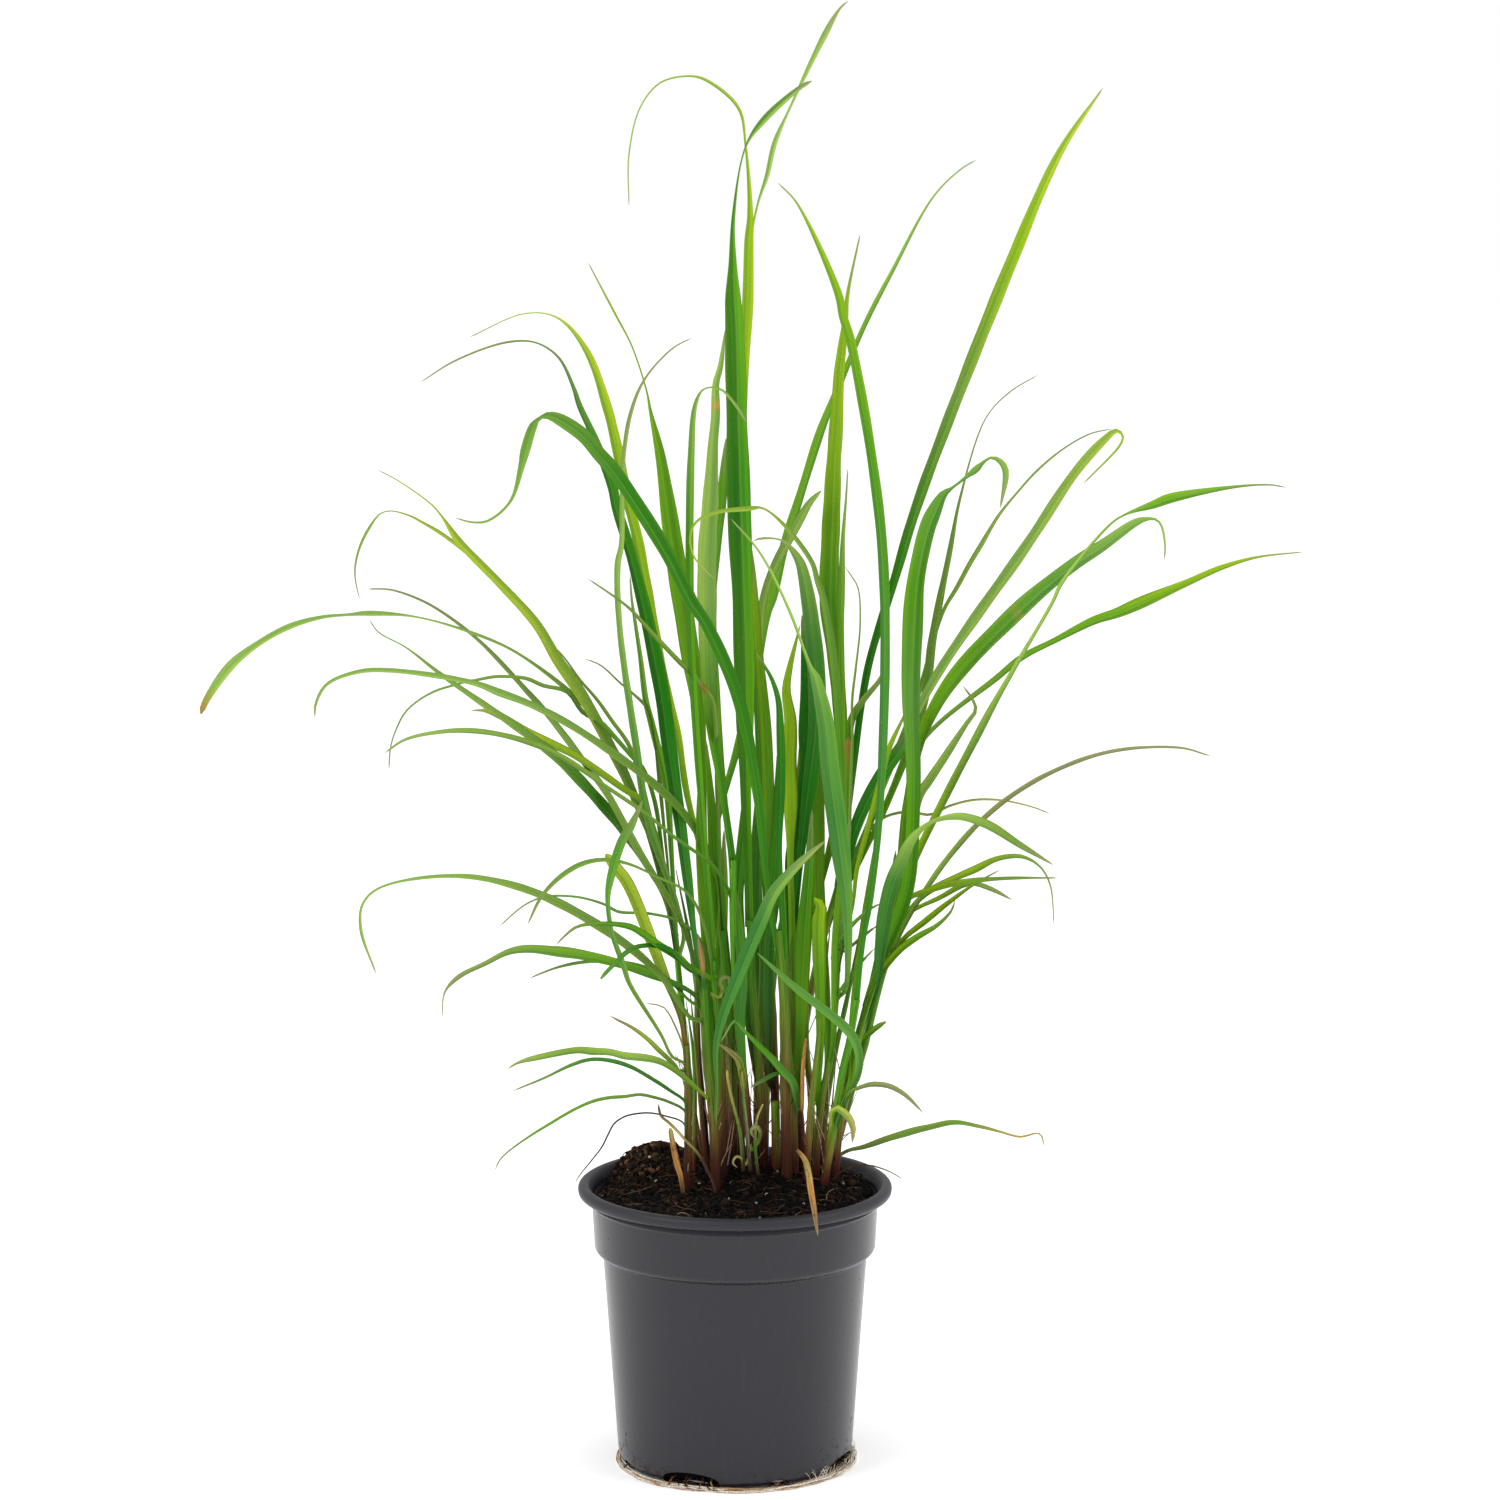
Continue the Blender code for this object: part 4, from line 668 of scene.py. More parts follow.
def on_sight_line(px, py, depth):
    """The point that the front view shows at picture point (px, py), at y = depth."""
    across, down = (px - PICTURE_WIDTH / 2) / FOCAL, (py - PICTURE_WIDTH / 2) / FOCAL
    pitch_cos, pitch_sin = math.cos(VIEW_PITCH), math.sin(VIEW_PITCH)
    ray = np.array((across, pitch_cos - down * pitch_sin, -pitch_sin - down * pitch_cos))
    return EYE + ray * (depth - EYE[1]) / ray[1]


def read_rows(wanted, places, rows):
    """Rows that are known at the places, read at the wanted places between them."""
    return np.stack([np.interp(wanted, places, column) for column in np.array(rows).T], -1)


def spread(values, share):
    """Reads a short list of values, spaced evenly from 0 to 1, at each share along it."""
    values = np.asarray(values, float)
    if len(values) == 1:
        values = np.repeat(values, 2, axis=0)
    places = np.linspace(0, 1, len(values))
    return np.interp(share, places, values) if values.ndim == 1 else read_rows(share, places, values)


def run_along(points):
    """Each point's distance from the first, along the line through them."""
    return np.concatenate(((0.0,), np.cumsum(np.linalg.norm(np.diff(points, axis=0), axis=1))))


def shares_along(points):
    run = run_along(points)
    return run / run[-1]


def smooth_line(points, step):
    """A centripetal Catmull-Rom curve through the points, read at equal steps about step long.

    Its knots are the square roots of the chords; each span mixes its four points three times over.
    Columns past the first three, such as widths, follow along and don't count as distance.
    """
    points = np.asarray(points, float)
    ends = np.vstack((2 * points[0] - points[1], points, 2 * points[-1] - points[-2]))
    chords = np.sqrt(np.linalg.norm(np.diff(ends[:, :3], axis=0), axis=1))
    a, b, c, d = (ends[i:len(ends) - 3 + i, None] for i in range(4))
    ab, bc, cd = (chords[i:len(chords) - 2 + i, None, None] for i in range(3))
    t = np.linspace(0, 1, 16, endpoint=False)[None, :, None] * bc
    first = a + (b - a) * (t + ab) / ab
    second = b + (c - b) * t / bc
    third = c + (d - c) * (t - bc) / cd
    early = first + (second - first) * (t + ab) / (ab + bc)
    late = second + (third - second) * t / (bc + cd)
    fine = (early + (late - early) * t / bc).reshape(-1, points.shape[1])
    fine = np.vstack((fine, points[-1:]))
    run = run_along(fine[:, :3])
    return read_rows(np.linspace(0, run[-1], max(6, int(run[-1] / step))), run, fine)


def frames(line, turn_deg):
    """Width direction and upper face direction at each point, turned from facing the view."""
    tangent = unit(np.gradient(line, axis=0))
    sight = unit(EYE - line)
    facing = unit(sight - tangent * np.sum(sight * tangent, axis=1, keepdims=True))
    turn = np.radians(turn_deg)[:, None]
    upper = facing * np.cos(turn) + np.cross(tangent, facing) * np.sin(turn)
    return np.cross(tangent, upper), upper


def stem_points(stem):
    """The stem's route: its foot, picture x and depth, standing on the soil, and then its picture
    points, set back in step."""
    foot_px, foot_depth = stem["foot"]
    foot = on_sight_line(foot_px, FOOT_PY, foot_depth * MM)
    foot[2] = soil_height(foot[0], foot[1])
    heights = np.array([py for _, py in stem["route"]], float)
    climb = (FOOT_PY - heights) / (FOOT_PY - heights[-1])
    depths = foot_depth + (stem["depth"] - foot_depth) * climb
    return [foot] + [on_sight_line(px, py, d * MM) for (px, py), d in zip(stem["route"], depths)]


def stem_line(stem):
    points = stem_points(stem)
    return smooth_line([points[0] - unit(points[1] - points[0]) * STEM_SUNK] + points, 2.5 * MM)


def sheath_finish():
    """Fibrous sheath: fine lines along the stem, and lighter, drier patches here and there."""
    finish = Finish("sheath", {"Specular IOR Level": 0.2, "Subsurface Weight": 0.08,
                               "Subsurface Radius": (1.0, 0.7, 0.3), "Subsurface Scale": 0.8 * MM})
    lines, blotch = finish.streaks(2600.0, 40.0, 3.0), finish.streaks(220.0, 60.0, 4.0, 0.6)
    tone = finish.attribute("tone", "Color")
    colour = finish.shaded(finish.between(lines, 0.3, 0.7), tone, (0.62,) * 3, (1.3,) * 3)
    colour = finish.mix(finish.between(blotch, 0.58, 0.78) * 0.5, colour,
                        finish.times(tone, (1.5, 1.25, 0.8)))
    return finish.feed(Base_Color=colour, Roughness=blotch * 0.2 + 0.42,
                       Normal=finish.bump(lines, 0.12 * MM, 0.8))


def sheath_tube(line, diameter, draw, greener=0.0):
    """A rolled stem round its line: r = r0 (1 + 0.07 cos(a - a1) + a ridge where the outer sheath
    ends, which climbs round the stem), 12% wider at the foot and 10% at each joint of sheaths. Its
    tones go by the height above the soil in mm, to which greener is added between 6 and 36 mm up;
    the lowest tones, near black, are painted shade at the soil."""
    beside, facing = frames(line, np.zeros(len(line)))
    share, run, angle = shares_along(line), run_along(line), circle(STEM_SIDES)
    edge = draw.uniform(0, 2 * math.pi) + share[:, None] * draw.uniform(-2.5, 2.5)
    past_edge = np.mod(angle - edge, 2 * math.pi)
    ridge = 0.13 * np.exp(-past_edge / 0.5) + 0.05 * np.exp(-np.mod(past_edge + 2.4, 2 * math.pi) / 0.4)
    joints = sum(0.10 * np.exp(-((run - place) / (2.5 * MM)) ** 2)
                 for place in draw.uniform(0.15, 0.9, 3) * run[-1])
    radius = diameter / 2 * np.interp(share, (0, 0.12, 1), (1.12, 1.0, 0.82)) * (1 + joints)
    radius = radius[:, None] * (1 + 0.07 * np.cos(angle - draw.uniform(0, 6)) + ridge)
    rings = line[:, None] + radius[..., None] * (beside[:, None] * np.cos(angle)[:, None]
                                                 + facing[:, None] * np.sin(angle)[:, None])
    above_soil = (rings[..., 2] - SOIL_EDGE) / MM
    above_soil = above_soil + greener * np.clip((above_soil - 6) / 30, 0, 1)
    above_soil = above_soil * (1 + 0.3 * np.sin(angle - edge)) + draw.normal(0, 8)
    tones = read_rows(above_soil, list(STEM_TONES_AND_FOOT_SHADE), list(STEM_TONES_AND_FOOT_SHADE.values()))
    tones = tones * draw.uniform(0.75, 1.2) * (1 - 0.3 * np.exp(-past_edge / 0.25))[..., None]
    uv = np.stack(np.broadcast_arrays(angle * diameter / 2, run[:, None]), -1)
    return rings.reshape(-1, 3), tube_faces(*rings.shape[:2]), tones.reshape(-1, 3), uv.reshape(-1, 2)


draw = np.random.default_rng(31)
sheath = sheath_finish()
STEM_LINES = {}
for name, stem in STEMS.items():
    STEM_LINES[name] = stem_line(stem)
    piece = add_piece(name.replace("_", "_rolled_"), sheath, "stem",
                      *sheath_tube(STEM_LINES[name], stem["diameter"] * MM, draw, stem.get("greener", 0)))
    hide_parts(name)

# Thin shoots
# Younger and thinner shoots that fill the clump. Each is a rolled sheath like the main stems, drawn
# out to a point where it turns into a leaf, and one is cut short.
THIN_SHOOTS = (
    dict(foot=(728, 30), route=((728, 1060), (726, 1020), (722, 930), (718, 880)), depth=26, diameter=2.9),
    dict(foot=(775, 14), route=((776, 1140), (775, 1102)), depth=8, diameter=3.6, cut=True,
         greener=24),
    dict(foot=(806, 4), route=((812, 1100), (818, 1050), (822, 1000), (830, 930)), depth=2, diameter=3.2,
         greener=26),
    dict(foot=(709, 12), route=((703, 1130), (697, 1060), (690, 990)), depth=16, diameter=2.1),
    dict(foot=(706, 24), route=((700, 1140), (690, 1085), (682, 1030)), depth=30, diameter=1.9),
    dict(foot=(707, 32), route=((703, 1110), (698, 1050), (696, 960), (692, 900)), depth=30, diameter=3.1),
    dict(foot=(730, 44), route=((714, 1070), (699, 1000), (688, 930), (676, 870)), depth=54, diameter=2.9),
    dict(foot=(765, 46), route=((768, 1060), (776, 960), (788, 880), (794, 800)), depth=58, diameter=3.0),
    dict(foot=(742, 14), route=((742, 1090), (741, 1030), (742, 960), (741, 880)), depth=12, diameter=2.6),
    dict(foot=(757, 32), route=((757, 1090), (761, 1010), (762, 930), (760, 860)), depth=36, diameter=3.0),
    dict(foot=(795, 12), route=((793, 1100), (788, 1040), (786, 960), (784, 880)), depth=8, diameter=3.0),
    dict(foot=(812, 26), route=((811, 1100), (806, 1040), (806, 960), (808, 880)), depth=30, diameter=3.1,
         greener=30),
    dict(foot=(822, 34), route=((826, 1110), (836, 1050), (849, 990), (862, 920)), depth=40, diameter=2.8,
         greener=32),
    dict(foot=(836, 12), route=((842, 1120), (852, 1080), (862, 1030), (876, 985)), depth=4, diameter=2.4,
         greener=32),
    dict(foot=(783, 34), route=((785, 1090), (792, 1010), (802, 940), (815, 880)), depth=42, diameter=2.8),
    dict(foot=(694, 20), route=((695, 1120), (694, 1060), (686, 1000)), depth=20, diameter=2.2),
)
shoots = []
for shoot in THIN_SHOOTS:
    line = stem_line(shoot)
    points, *rest = sheath_tube(line, shoot["diameter"] * MM, draw, shoot.get("greener", 12))
    if not shoot.get("cut"):
        taper = np.interp(shares_along(line), (0, 0.7, 1), (1, 0.8, 0.15))[:, None, None]
        middle = line[:, None]
        points = (middle + (points.reshape(len(line), -1, 3) - middle) * taper).reshape(-1, 3)
    shoots.append((points, *rest))
add_piece("thin_shoots", sheath, "stem", *joined(shoots))

# Threads of old sheaths
# Dead sheaths have frayed into thin brown threads between the stems. Each is still held by a stem
# at its lower end and bows outwards as it rises.
lines = []
bend = np.linspace(0, 1, 13)[:, None]
for _ in range(120):
    line = STEM_LINES[draw.choice(list(STEMS))]
    held = line[int(draw.uniform(0.03, 0.35) * len(line))]
    lean, reach, rise = draw.uniform(0, 2 * math.pi), draw.uniform(2, 12) * MM, draw.uniform(6, 40) * MM
    out = np.array((math.cos(lean), math.sin(lean), 0.0))
    lines.append(held + out * reach * bend ** draw.uniform(0.6, 2) + np.array((0, 0, rise)) * bend)
add_threads("sheath_threads", np.array(lines), (0.25, 0.55), 0.8, "stem",
            (CHESTNUT, FIBRE, FIBRE, PALE_ROOT, PALE_ROOT), draw)

# Leaves
# Forty main blades: long, V-folded about a midrib, finely veined, with tips that dry out. Each leaves
# its stem as a narrow channel, at its top or from its side, and widens where it spreads.
TONES = {name: linear(*colour) for name, colour in dict(
    deep=(20, 104, 0), forest=(46, 118, 2), grass=(68, 130, 4), fresh=(90, 145, 14),
    lime=(122, 160, 8), citron=(150, 176, 50), jade=(80, 134, 50), sea=(56, 118, 44),
    mint=(128, 164, 76), sage=(102, 138, 54), dusk=(122, 128, 92), straw=(184, 170, 100),
    tan=(190, 138, 76), rust=(150, 82, 44), umber=(70, 46, 30), soot=(32, 28, 24)).items()}
ACROSS = np.array((-1, -0.84, -0.62, -0.38, -0.14, 0, 0.14, 0.38, 0.62, 0.84, 1))
BLADE_THICKNESS, TIP_THICKNESS, RIB_HEIGHT, THINNEST = 0.42 * MM, 0.18 * MM, 0.30 * MM, 0.3 * MM
FOLD, CHANNEL_LENGTH = 0.34, 9.0 * MM
INSIDE_TOP, INSIDE_SIDE = 3.0 * MM, 7.0 * MM
LEAVES = {
    "leaf_centre_tall": dict(
        stem="stem_07", at=1.0, slot="leaf_dark", tones="grass grass grass forest grass grass mint",
        route=((749, 880, 3.4), (747, 820, 4), (746, 760, 5.5), (745.5, 680, 8.3), (743, 590, 8.4),
               (740.2, 508, 9.7), (737.7, 417, 8.6), (735.5, 328, 7.6), (734, 300, 6.4), (733.3, 267, 3.6),
               (733.7, 217, 1.5), (745.8, 147, 0.8), (763.3, 121, 2.5), (800, 88, 1.9), (811.7, 81, 1.2)),
        depth=(10, 8, 4, 0, -6, -16, -30), turn=(-30,), side=0.3),
    "leaf_centre_yellow_arch": dict(
        stem="stem_08", at=1.0, slot="leaf_yellow_green", tones="fresh grass lime lime mint",
        route=((764, 860, 3.2), (757, 700, 3.6), (742, 480, 4), (742, 400, 4), (747.3, 300, 4.5),
               (748.5, 240, 3.6), (750, 217, 2.6), (745.7, 147, 1), (738.3, 108, 1.3), (705, 79.7, 1.2),
               (688, 76.2, 0.8), (660, 83, 0.7), (640, 108, 0.6), (629, 155, 0.6), (629, 205, 0.4)),
        depth=(26, 28, 32, 36, 46, 62, 76, 84), turn=(30,)),
    "leaf_top_spear": dict(
        stem="stem_08", at=0.9, slot="leaf_olive", tones="grass fresh lime mint mint",
        route=((777, 900, 2.4), (770, 780, 3.4), (757, 640, 3.5), (746, 500, 2.5), (744, 400, 2),
               (747, 300, 1.9), (751, 240, 1), (758.3, 203, 1), (767.5, 175, 1.8), (775, 143, 2.1),
               (788.3, 112, 1), (826.7, 31.7, 2.4), (840.8, 7.5, 0.9), (848.3, 1, 0.5)),
        depth=(34, 48, 58, 64, 68, 74), turn=(-35,)),
    "leaf_right_of_centre": dict(
        stem="stem_12", at=1.0, slot="leaf_green", tones="forest sea grass lime",
        route=((863, 940, 2.1), (871, 895, 2.3), (881, 780, 3.4), (881.8, 548, 4.1), (851, 345, 3.7),
               (842.3, 315, 3.4), (838.3, 295, 3.2), (796.7, 203, 0.8), (778, 183, 0.5)),
        depth=(-9, -14, -22, -32, -42, -54, -64), turn=(28,)),
    "leaf_upright_spear": dict(
        stem="stem_10", at=0.88, slot="leaf_yellow_green", tones="fresh fresh grass lime lime",
        route=((806, 930, 2.4), (830, 850, 3), (842, 780, 4.4), (836.5, 660, 6.6), (831.5, 623, 7.2),
               (829.7, 598, 8), (833, 500, 7.2), (834.3, 467, 6.1), (837.5, 417, 5.5), (838.7, 389, 4.5),
               (840.3, 367, 4.4), (846, 318, 2.4), (847.5, 297, 1.6), (860, 235, 0.5)),
        depth=(30, 36, 40, 46, 54, 62), turn=(-30,)),
    "leaf_lean_thin": dict(
        stem="stem_15", at=1.0, slot="leaf_dark", tones="forest fresh fresh mint",
        route=((718, 820, 2.6), (740, 740, 3.3), (757, 665, 4.1), (768, 612, 3.8), (772.8, 598, 4.2),
               (786.7, 540, 4), (799.5, 500, 3.6), (821.7, 430, 3.6), (844, 375, 2.6), (865, 325, 2.2),
               (891.7, 273, 1.7), (933.3, 197, 0.8), (960, 170, 0.6), (976, 160, 0.5)),
        depth=(64, 74, 92, 114, 136), turn=(-38,)),
    "leaf_right_tall": dict(
        stem="stem_16", at=1.0, slot="leaf_green", tones="grass deep forest sage lime citron",
        route=((850, 800, 2.6), (868, 670, 3.2), (895, 580, 3.8), (919.5, 500, 4.4), (1012, 262, 5),
               (1060, 153, 3), (1103, 88, 0.5)),
        depth=(60, 60, 56, 50, 44, 38), turn=(-32,)),
    "leaf_pale_left_of_centre": dict(
        stem="stem_06", at=1.0, slot="leaf_blue_green", tones="forest grass mint mint mint",
        route=((722, 790, 3), (714, 745, 4), (709.5, 700, 6), (706.3, 560, 7.9), (709.8, 500, 6.7),
               (712.5, 445, 4.1), (715, 417, 3.8), (715.7, 383, 2.9), (720, 367, 2.4), (725, 330, 0.5)),
        depth=(0, 8, 16, 24, 30), turn=(25,), side=-0.15, spots=((0.86, 1.6, "tan"),)),
    "leaf_small_hook": dict(
        stem="stem_03", at=1.0, slot="leaf_green", tones="grass grass grass mint",
        route=((706, 860, 2.6), (691.5, 640, 3.3), (691.3, 460, 2.9), (696, 403, 1.7), (704, 389, 0.7),
               (720, 389, 0.9), (737, 407, 1.1), (746, 422, 0.8)),
        depth=(6, 0, -6, -12, -20, -26), turn=(-25,)),
    "leaf_bright_loop": dict(
        stem="stem_11", at=1.0, slot="leaf_yellow_green", tones="mint grass sage citron",
        route=((843, 860, 2.6), (837, 697, 3.3), (823, 600, 2.8), (816.7, 580, 2.4), (811.7, 563, 2.1),
               (786.7, 528.3, 1.6), (766.7, 510.3, 0.8), (758.3, 507.5, 1), (751.7, 508.7, 1.8),
               (716.7, 512.5, 1.4), (696.7, 521.7, 1.1), (690.3, 536.7, 0.8), (694.2, 556.7, 0.8),
               (715, 580, 0.5)),
        depth=(0, -8, -14, -22, -34, -46, -54, -56), turn=(30, 30, 40, 20)),
    "leaf_blue_arch": dict(
        stem="stem_10", at=1.0, slot="leaf_blue_green", tones="deep deep sea mint",
        route=((800, 860, 3), (806, 810, 5), (817, 705, 7.4), (803.3, 575, 5), (796.7, 557, 3.4),
               (781.7, 540.5, 0.8), (760, 538.7, 1), (753.3, 541, 0.5)),
        depth=(22, 18, 10, 0, -12, -26, -32), turn=(20,)),
    "leaf_front_folded": dict(
        stem="stem_11", at=0.78, slot="leaf_blue_green", tones="sage jade sea jade mint mint",
        route=((845, 990, 1.8), (848, 950, 3), (846, 900, 5), (841, 855, 7.8), (829.5, 767, 7.4),
               (825, 721.5, 6.6), (815, 678, 4.2), (810.5, 668, 2), (789, 610, 1.2), (760, 553, 0.9),
               (731, 519, 0.6)),
        depth=(-4, -16, -28, -40, -54, -66, -76), turn=(15,)),
    "leaf_front_cross": dict(
        stem="stem_02", at=0.3, slot="leaf_blue_green", tones="sage sea sea mint",
        route=((717, 1090, 1.4), (716, 1050, 2.4), (722, 1020, 3.6), (745, 960, 5.8), (762, 920, 5.4),
               (774, 893, 4.8), (800, 863, 3.3), (825, 841, 0.7)),
        depth=(-6, -14, -24, -38, -50), turn=(-25,)),
    "leaf_front_bent": dict(
        stem="stem_12", at=0.3, slot="leaf_blue_green", tones="sea jade jade jade jade",
        route=((848, 1094, 2.2), (856, 1078, 3.0), (859, 1060, 3.4), (855, 1042, 3.8), (845, 1028, 4.0),
               (793, 986, 2.9), (757, 953, 0.5)),
        depth=(-8, -16, -22, -30, -38, -46), turn=(30,), tip="jade"),
    "leaf_left_dark": dict(
        stem="stem_02", at=1.0, slot="leaf_dark", tones="sea deep forest dusk",
        route=((694, 935, 2.4), (686.4, 874, 4.2), (678, 812, 5), (669, 750, 6.2), (660.5, 688, 6.4),
               (633.6, 566, 4.8), (616, 507.5, 4.3), (612, 488, 4.4), (593.7, 438, 3.2), (578.7, 405, 2.4),
               (573.3, 388, 1.6), (558.3, 357.5, 1.1), (535.8, 342.8, 0.7), (506.7, 342.5, 0.9),
               (455, 361, 0.7), (421, 382, 0.4)),
        depth=(-2, 8, 20, 30, 38, 46, 54, 60), turn=(30, 30, 35, 55)),
    "leaf_left_yellow": dict(
        stem="stem_15", at=0.8, slot="leaf_yellow_green", tones="fresh lime lime citron",
        route=((700, 850, 2.2), (686, 792, 2.8), (677.5, 734, 2.8), (664, 676, 2.8), (636.7, 538, 4.5),
               (627.5, 501.7, 4.5), (608, 413, 4.1), (584.7, 348.3, 2.6), (556.7, 317.5, 0.8),
               (524.5, 313.7, 0.5), (470, 337, 0.4)),
        depth=(68, 72, 78, 86, 96, 110, 128), turn=(35, 35, 40, 55)),
    "leaf_left_wide": dict(
        stem="stem_15", at=0.96, slot="leaf_yellow_green", tones="fresh fresh fresh lime",
        route=((704, 830, 2.4), (698, 714, 5.4), (689.5, 656, 7.6), (672, 540, 7.8), (659.7, 455, 4.1),
               (650, 410, 1.4), (646.7, 392, 0.8), (631.7, 346, 0.7), (615.5, 315, 0.9),
               (588.3, 263, 0.4)),
        depth=(56, 52, 46, 40, 34, 28), turn=(28,)),
    "leaf_left_upright": dict(
        stem="stem_05", at=0.86, slot="leaf_green", tones="sage jade mint dusk",
        route=((684, 935, 1.8), (677, 905, 2.2), (647.4, 815, 3.2), (637.6, 752.6, 3.1), (620, 628, 2.5),
               (618, 564, 2.5), (621.7, 545, 2.2), (623.3, 463, 1.8), (631, 413, 1.6), (645, 379, 0.9),
               (673.3, 348, 0.6), (692, 338, 0.4)),
        depth=(38, 30, 20, 8, -4, -16, -24), turn=(-25, -25, -35)),
    "leaf_left_bent": dict(
        stem="stem_09", at=0.9, slot="leaf_dark", tones="forest forest forest mint",
        route=((766, 880, 2.4), (758, 800, 4), (738, 700, 5), (706, 625, 5), (692, 604, 5.2),
               (666, 553, 5.6), (615, 473.3, 5.8), (598.3, 454, 5.5), (583.3, 436.3, 5.6),
               (556.7, 418.7, 4.5), (546.7, 416, 2.8), (539.5, 418.5, 1.2), (534, 425, 3.2),
               (525.8, 450, 4), (521.7, 466.7, 2.6), (510.5, 501.5, 1.2), (488.3, 520.8, 1),
               (473.3, 522.5, 0.8), (455, 518, 0.5)),
        depth=(-10, -16, -20, -24, -34, -48, -62, -74), turn=(30, 30, 35, 30, 20)),
    "leaf_far_left": dict(
        stem="stem_05", at=0.8, slot="leaf_green", tones="jade sage mint mint",
        route=((671, 925, 1.6), (642, 815, 2.3), (622, 765, 2.5), (606, 737, 2.5), (590, 712, 2.5),
               (520, 655, 1.2), (473, 633.5, 1.2), (415, 617, 0.8), (366.7, 614, 2.2), (350, 615, 1.3),
               (323, 617.5, 1.5), (290, 627, 2.4), (260, 643.3, 2.8), (231.7, 666, 3.7), (208.3, 698, 3),
               (201, 714, 2.4)),
        depth=(48, 56, 64, 68, 66, 60, 50), turn=(40, 50, 55, 50), tip="rust"),
    "leaf_left_olive": dict(
        stem="stem_04", at=0.72, slot="leaf_olive", tones="sage mint sage dusk",
        route=((704, 985), (684, 930), (667, 897), (642, 858), (607, 795), (580, 758), (553, 722),
               (518, 682), (480, 642), (443, 613), (420, 600), (391, 590), (368, 589)),
        width=(1.6, 2.3, 2.9, 2.9, 2.9, 2.5, 1.6, 1.2, 0.6), depth=(18, 16, 18, 40, 76, 108, 130),
        turn=(45,)),
    "leaf_left_sweep": dict(
        stem="stem_05", at=1.0, slot="leaf_dark", tones="mint forest mint sage",
        route=((663, 895, 2.2), (643, 860, 3.4), (620, 827, 4.4), (567, 768, 4.3), (543, 747, 3.8),
               (440, 674, 1.7), (405, 647, 0.6), (378, 632, 0.5), (369, 619, 0.4)),
        depth=(42, 32, 18, 2, -14, -26), turn=(42,)),
    "leaf_left_arch": dict(
        stem="stem_04", at=1.0, slot="leaf_blue_green", tones="grass sage mint mint",
        route=((718, 880, 2.2), (693, 827, 3.2), (660, 790, 3.4), (577, 730, 3), (532, 706, 3),
               (498, 693, 3), (473, 683.5, 2.3), (390, 671, 1.9), (357, 672.5, 1.6), (326.7, 685, 1.4),
               (315.8, 705, 1), (315, 718, 0.4)),
        depth=(14, 8, -2, -16, -30, -42, -46), turn=(42, 50, 50)),
    "leaf_left_low_arch": dict(
        stem="stem_06", at=0.88, slot="leaf_blue_green", tones="forest sage sage mint",
        route=((713, 866), (695, 852), (675, 838), (647, 815), (603, 785), (563, 758), (523, 741),
               (480, 732), (443, 732), (405, 740), (385, 753)),
        width=(1.4, 1.4, 1.4, 1.6, 2.1, 2.3, 2.3, 2, 1.4, 0.6), depth=(-6, -14, -30, -52, -76, -98, -112),
        turn=(45,)),
    "leaf_left_forked": dict(
        stem="stem_05", at=0.965, slot="leaf_yellow_green", tones="sage sage citron citron",
        route=((672, 897, 2), (660, 860, 2.9), (626, 780, 4), (584, 700, 4.8), (557, 660, 4.8),
               (534, 622, 4), (465, 549, 3.1), (457, 540, 3.2), (441.7, 516.7, 1), (431.7, 505, 0.7),
               (400, 482, 0.5), (378, 470, 0.4)),
        depth=(50, 54, 60, 64, 66, 66), turn=(35,)),
    "leaf_low_hook": dict(
        stem="stem_01", at=0.86, slot="leaf_green", tones="mint sage jade grass",
        route=((672, 1056, 1.2), (662, 1036, 1.4), (629, 982, 2), (624, 966, 2.4), (611.5, 930, 1.9),
               (608, 897, 2.1), (610.5, 880, 3), (622, 842, 3.8), (631, 827, 3.4), (643, 800, 0.5)),
        depth=(-8, -22, -36, -46, -54), turn=(-30,)),
    "leaf_pale_dying": dict(
        stem="stem_01", at=1.0, slot="leaf_yellow_green", tones="rust sage citron citron citron",
        route=((681, 1022, 1.8), (675, 1003, 2.2), (660, 965, 4.4), (627.6, 884, 5), (615, 867, 4.6),
               (606, 854, 3.6)),
        depth=(0, 12, 22, 30), turn=(25,), tip="citron"),
    "leaf_low_arch": dict(
        stem="stem_02", at=0.8, slot="leaf_olive", tones="sage sage mint mint",
        route=((690, 1018, 1.7), (660, 976, 2.8), (610, 934, 3.7), (530, 891.6, 3.3), (456, 876.4, 1.8),
               (380, 888, 0.9), (363, 904, 1), (361.4, 930, 1.3), (376, 973, 0.6)),
        depth=(-10, -14, -18, -24, -28, -28, -22), turn=(42, 50, 50)),
    "leaf_low_left": dict(
        stem="stem_02", at=0.9, slot="leaf_green", tones="sea fresh sage dusk",
        route=((690, 992, 1.8), (650, 975, 3.4), (610, 962, 3.6), (570, 954, 4.4), (516, 950.5, 3),
               (486, 963.6, 2), (458, 978, 2), (445, 992, 0.8), (442, 1018, 0.3)),
        depth=(-3, -2, 8, 26, 44, 58), turn=(48,)),
    "leaf_low_olive_hook": dict(
        stem="stem_03", at=0.93, slot="leaf_olive", tones="sage sage sage sage",
        route=((704, 925), (687, 893), (657, 877), (628, 864), (603, 860), (580, 865), (557, 880),
               (541, 898), (528, 924)),
        width=(1.4, 1.2, 0.9, 0.9, 1.5, 2.1, 2.1, 1.4, 0.6), depth=(2, -8, -22, -38, -52), turn=(40,)),
    "leaf_base_left": dict(
        stem="stem_02", at=0.42, slot="leaf_yellow_green", tones="lime sage mint sage mint",
        route=((700, 1092, 1.5), (662, 1063, 2.8), (622, 1056, 3), (610, 1053, 3), (590, 1052, 3.2),
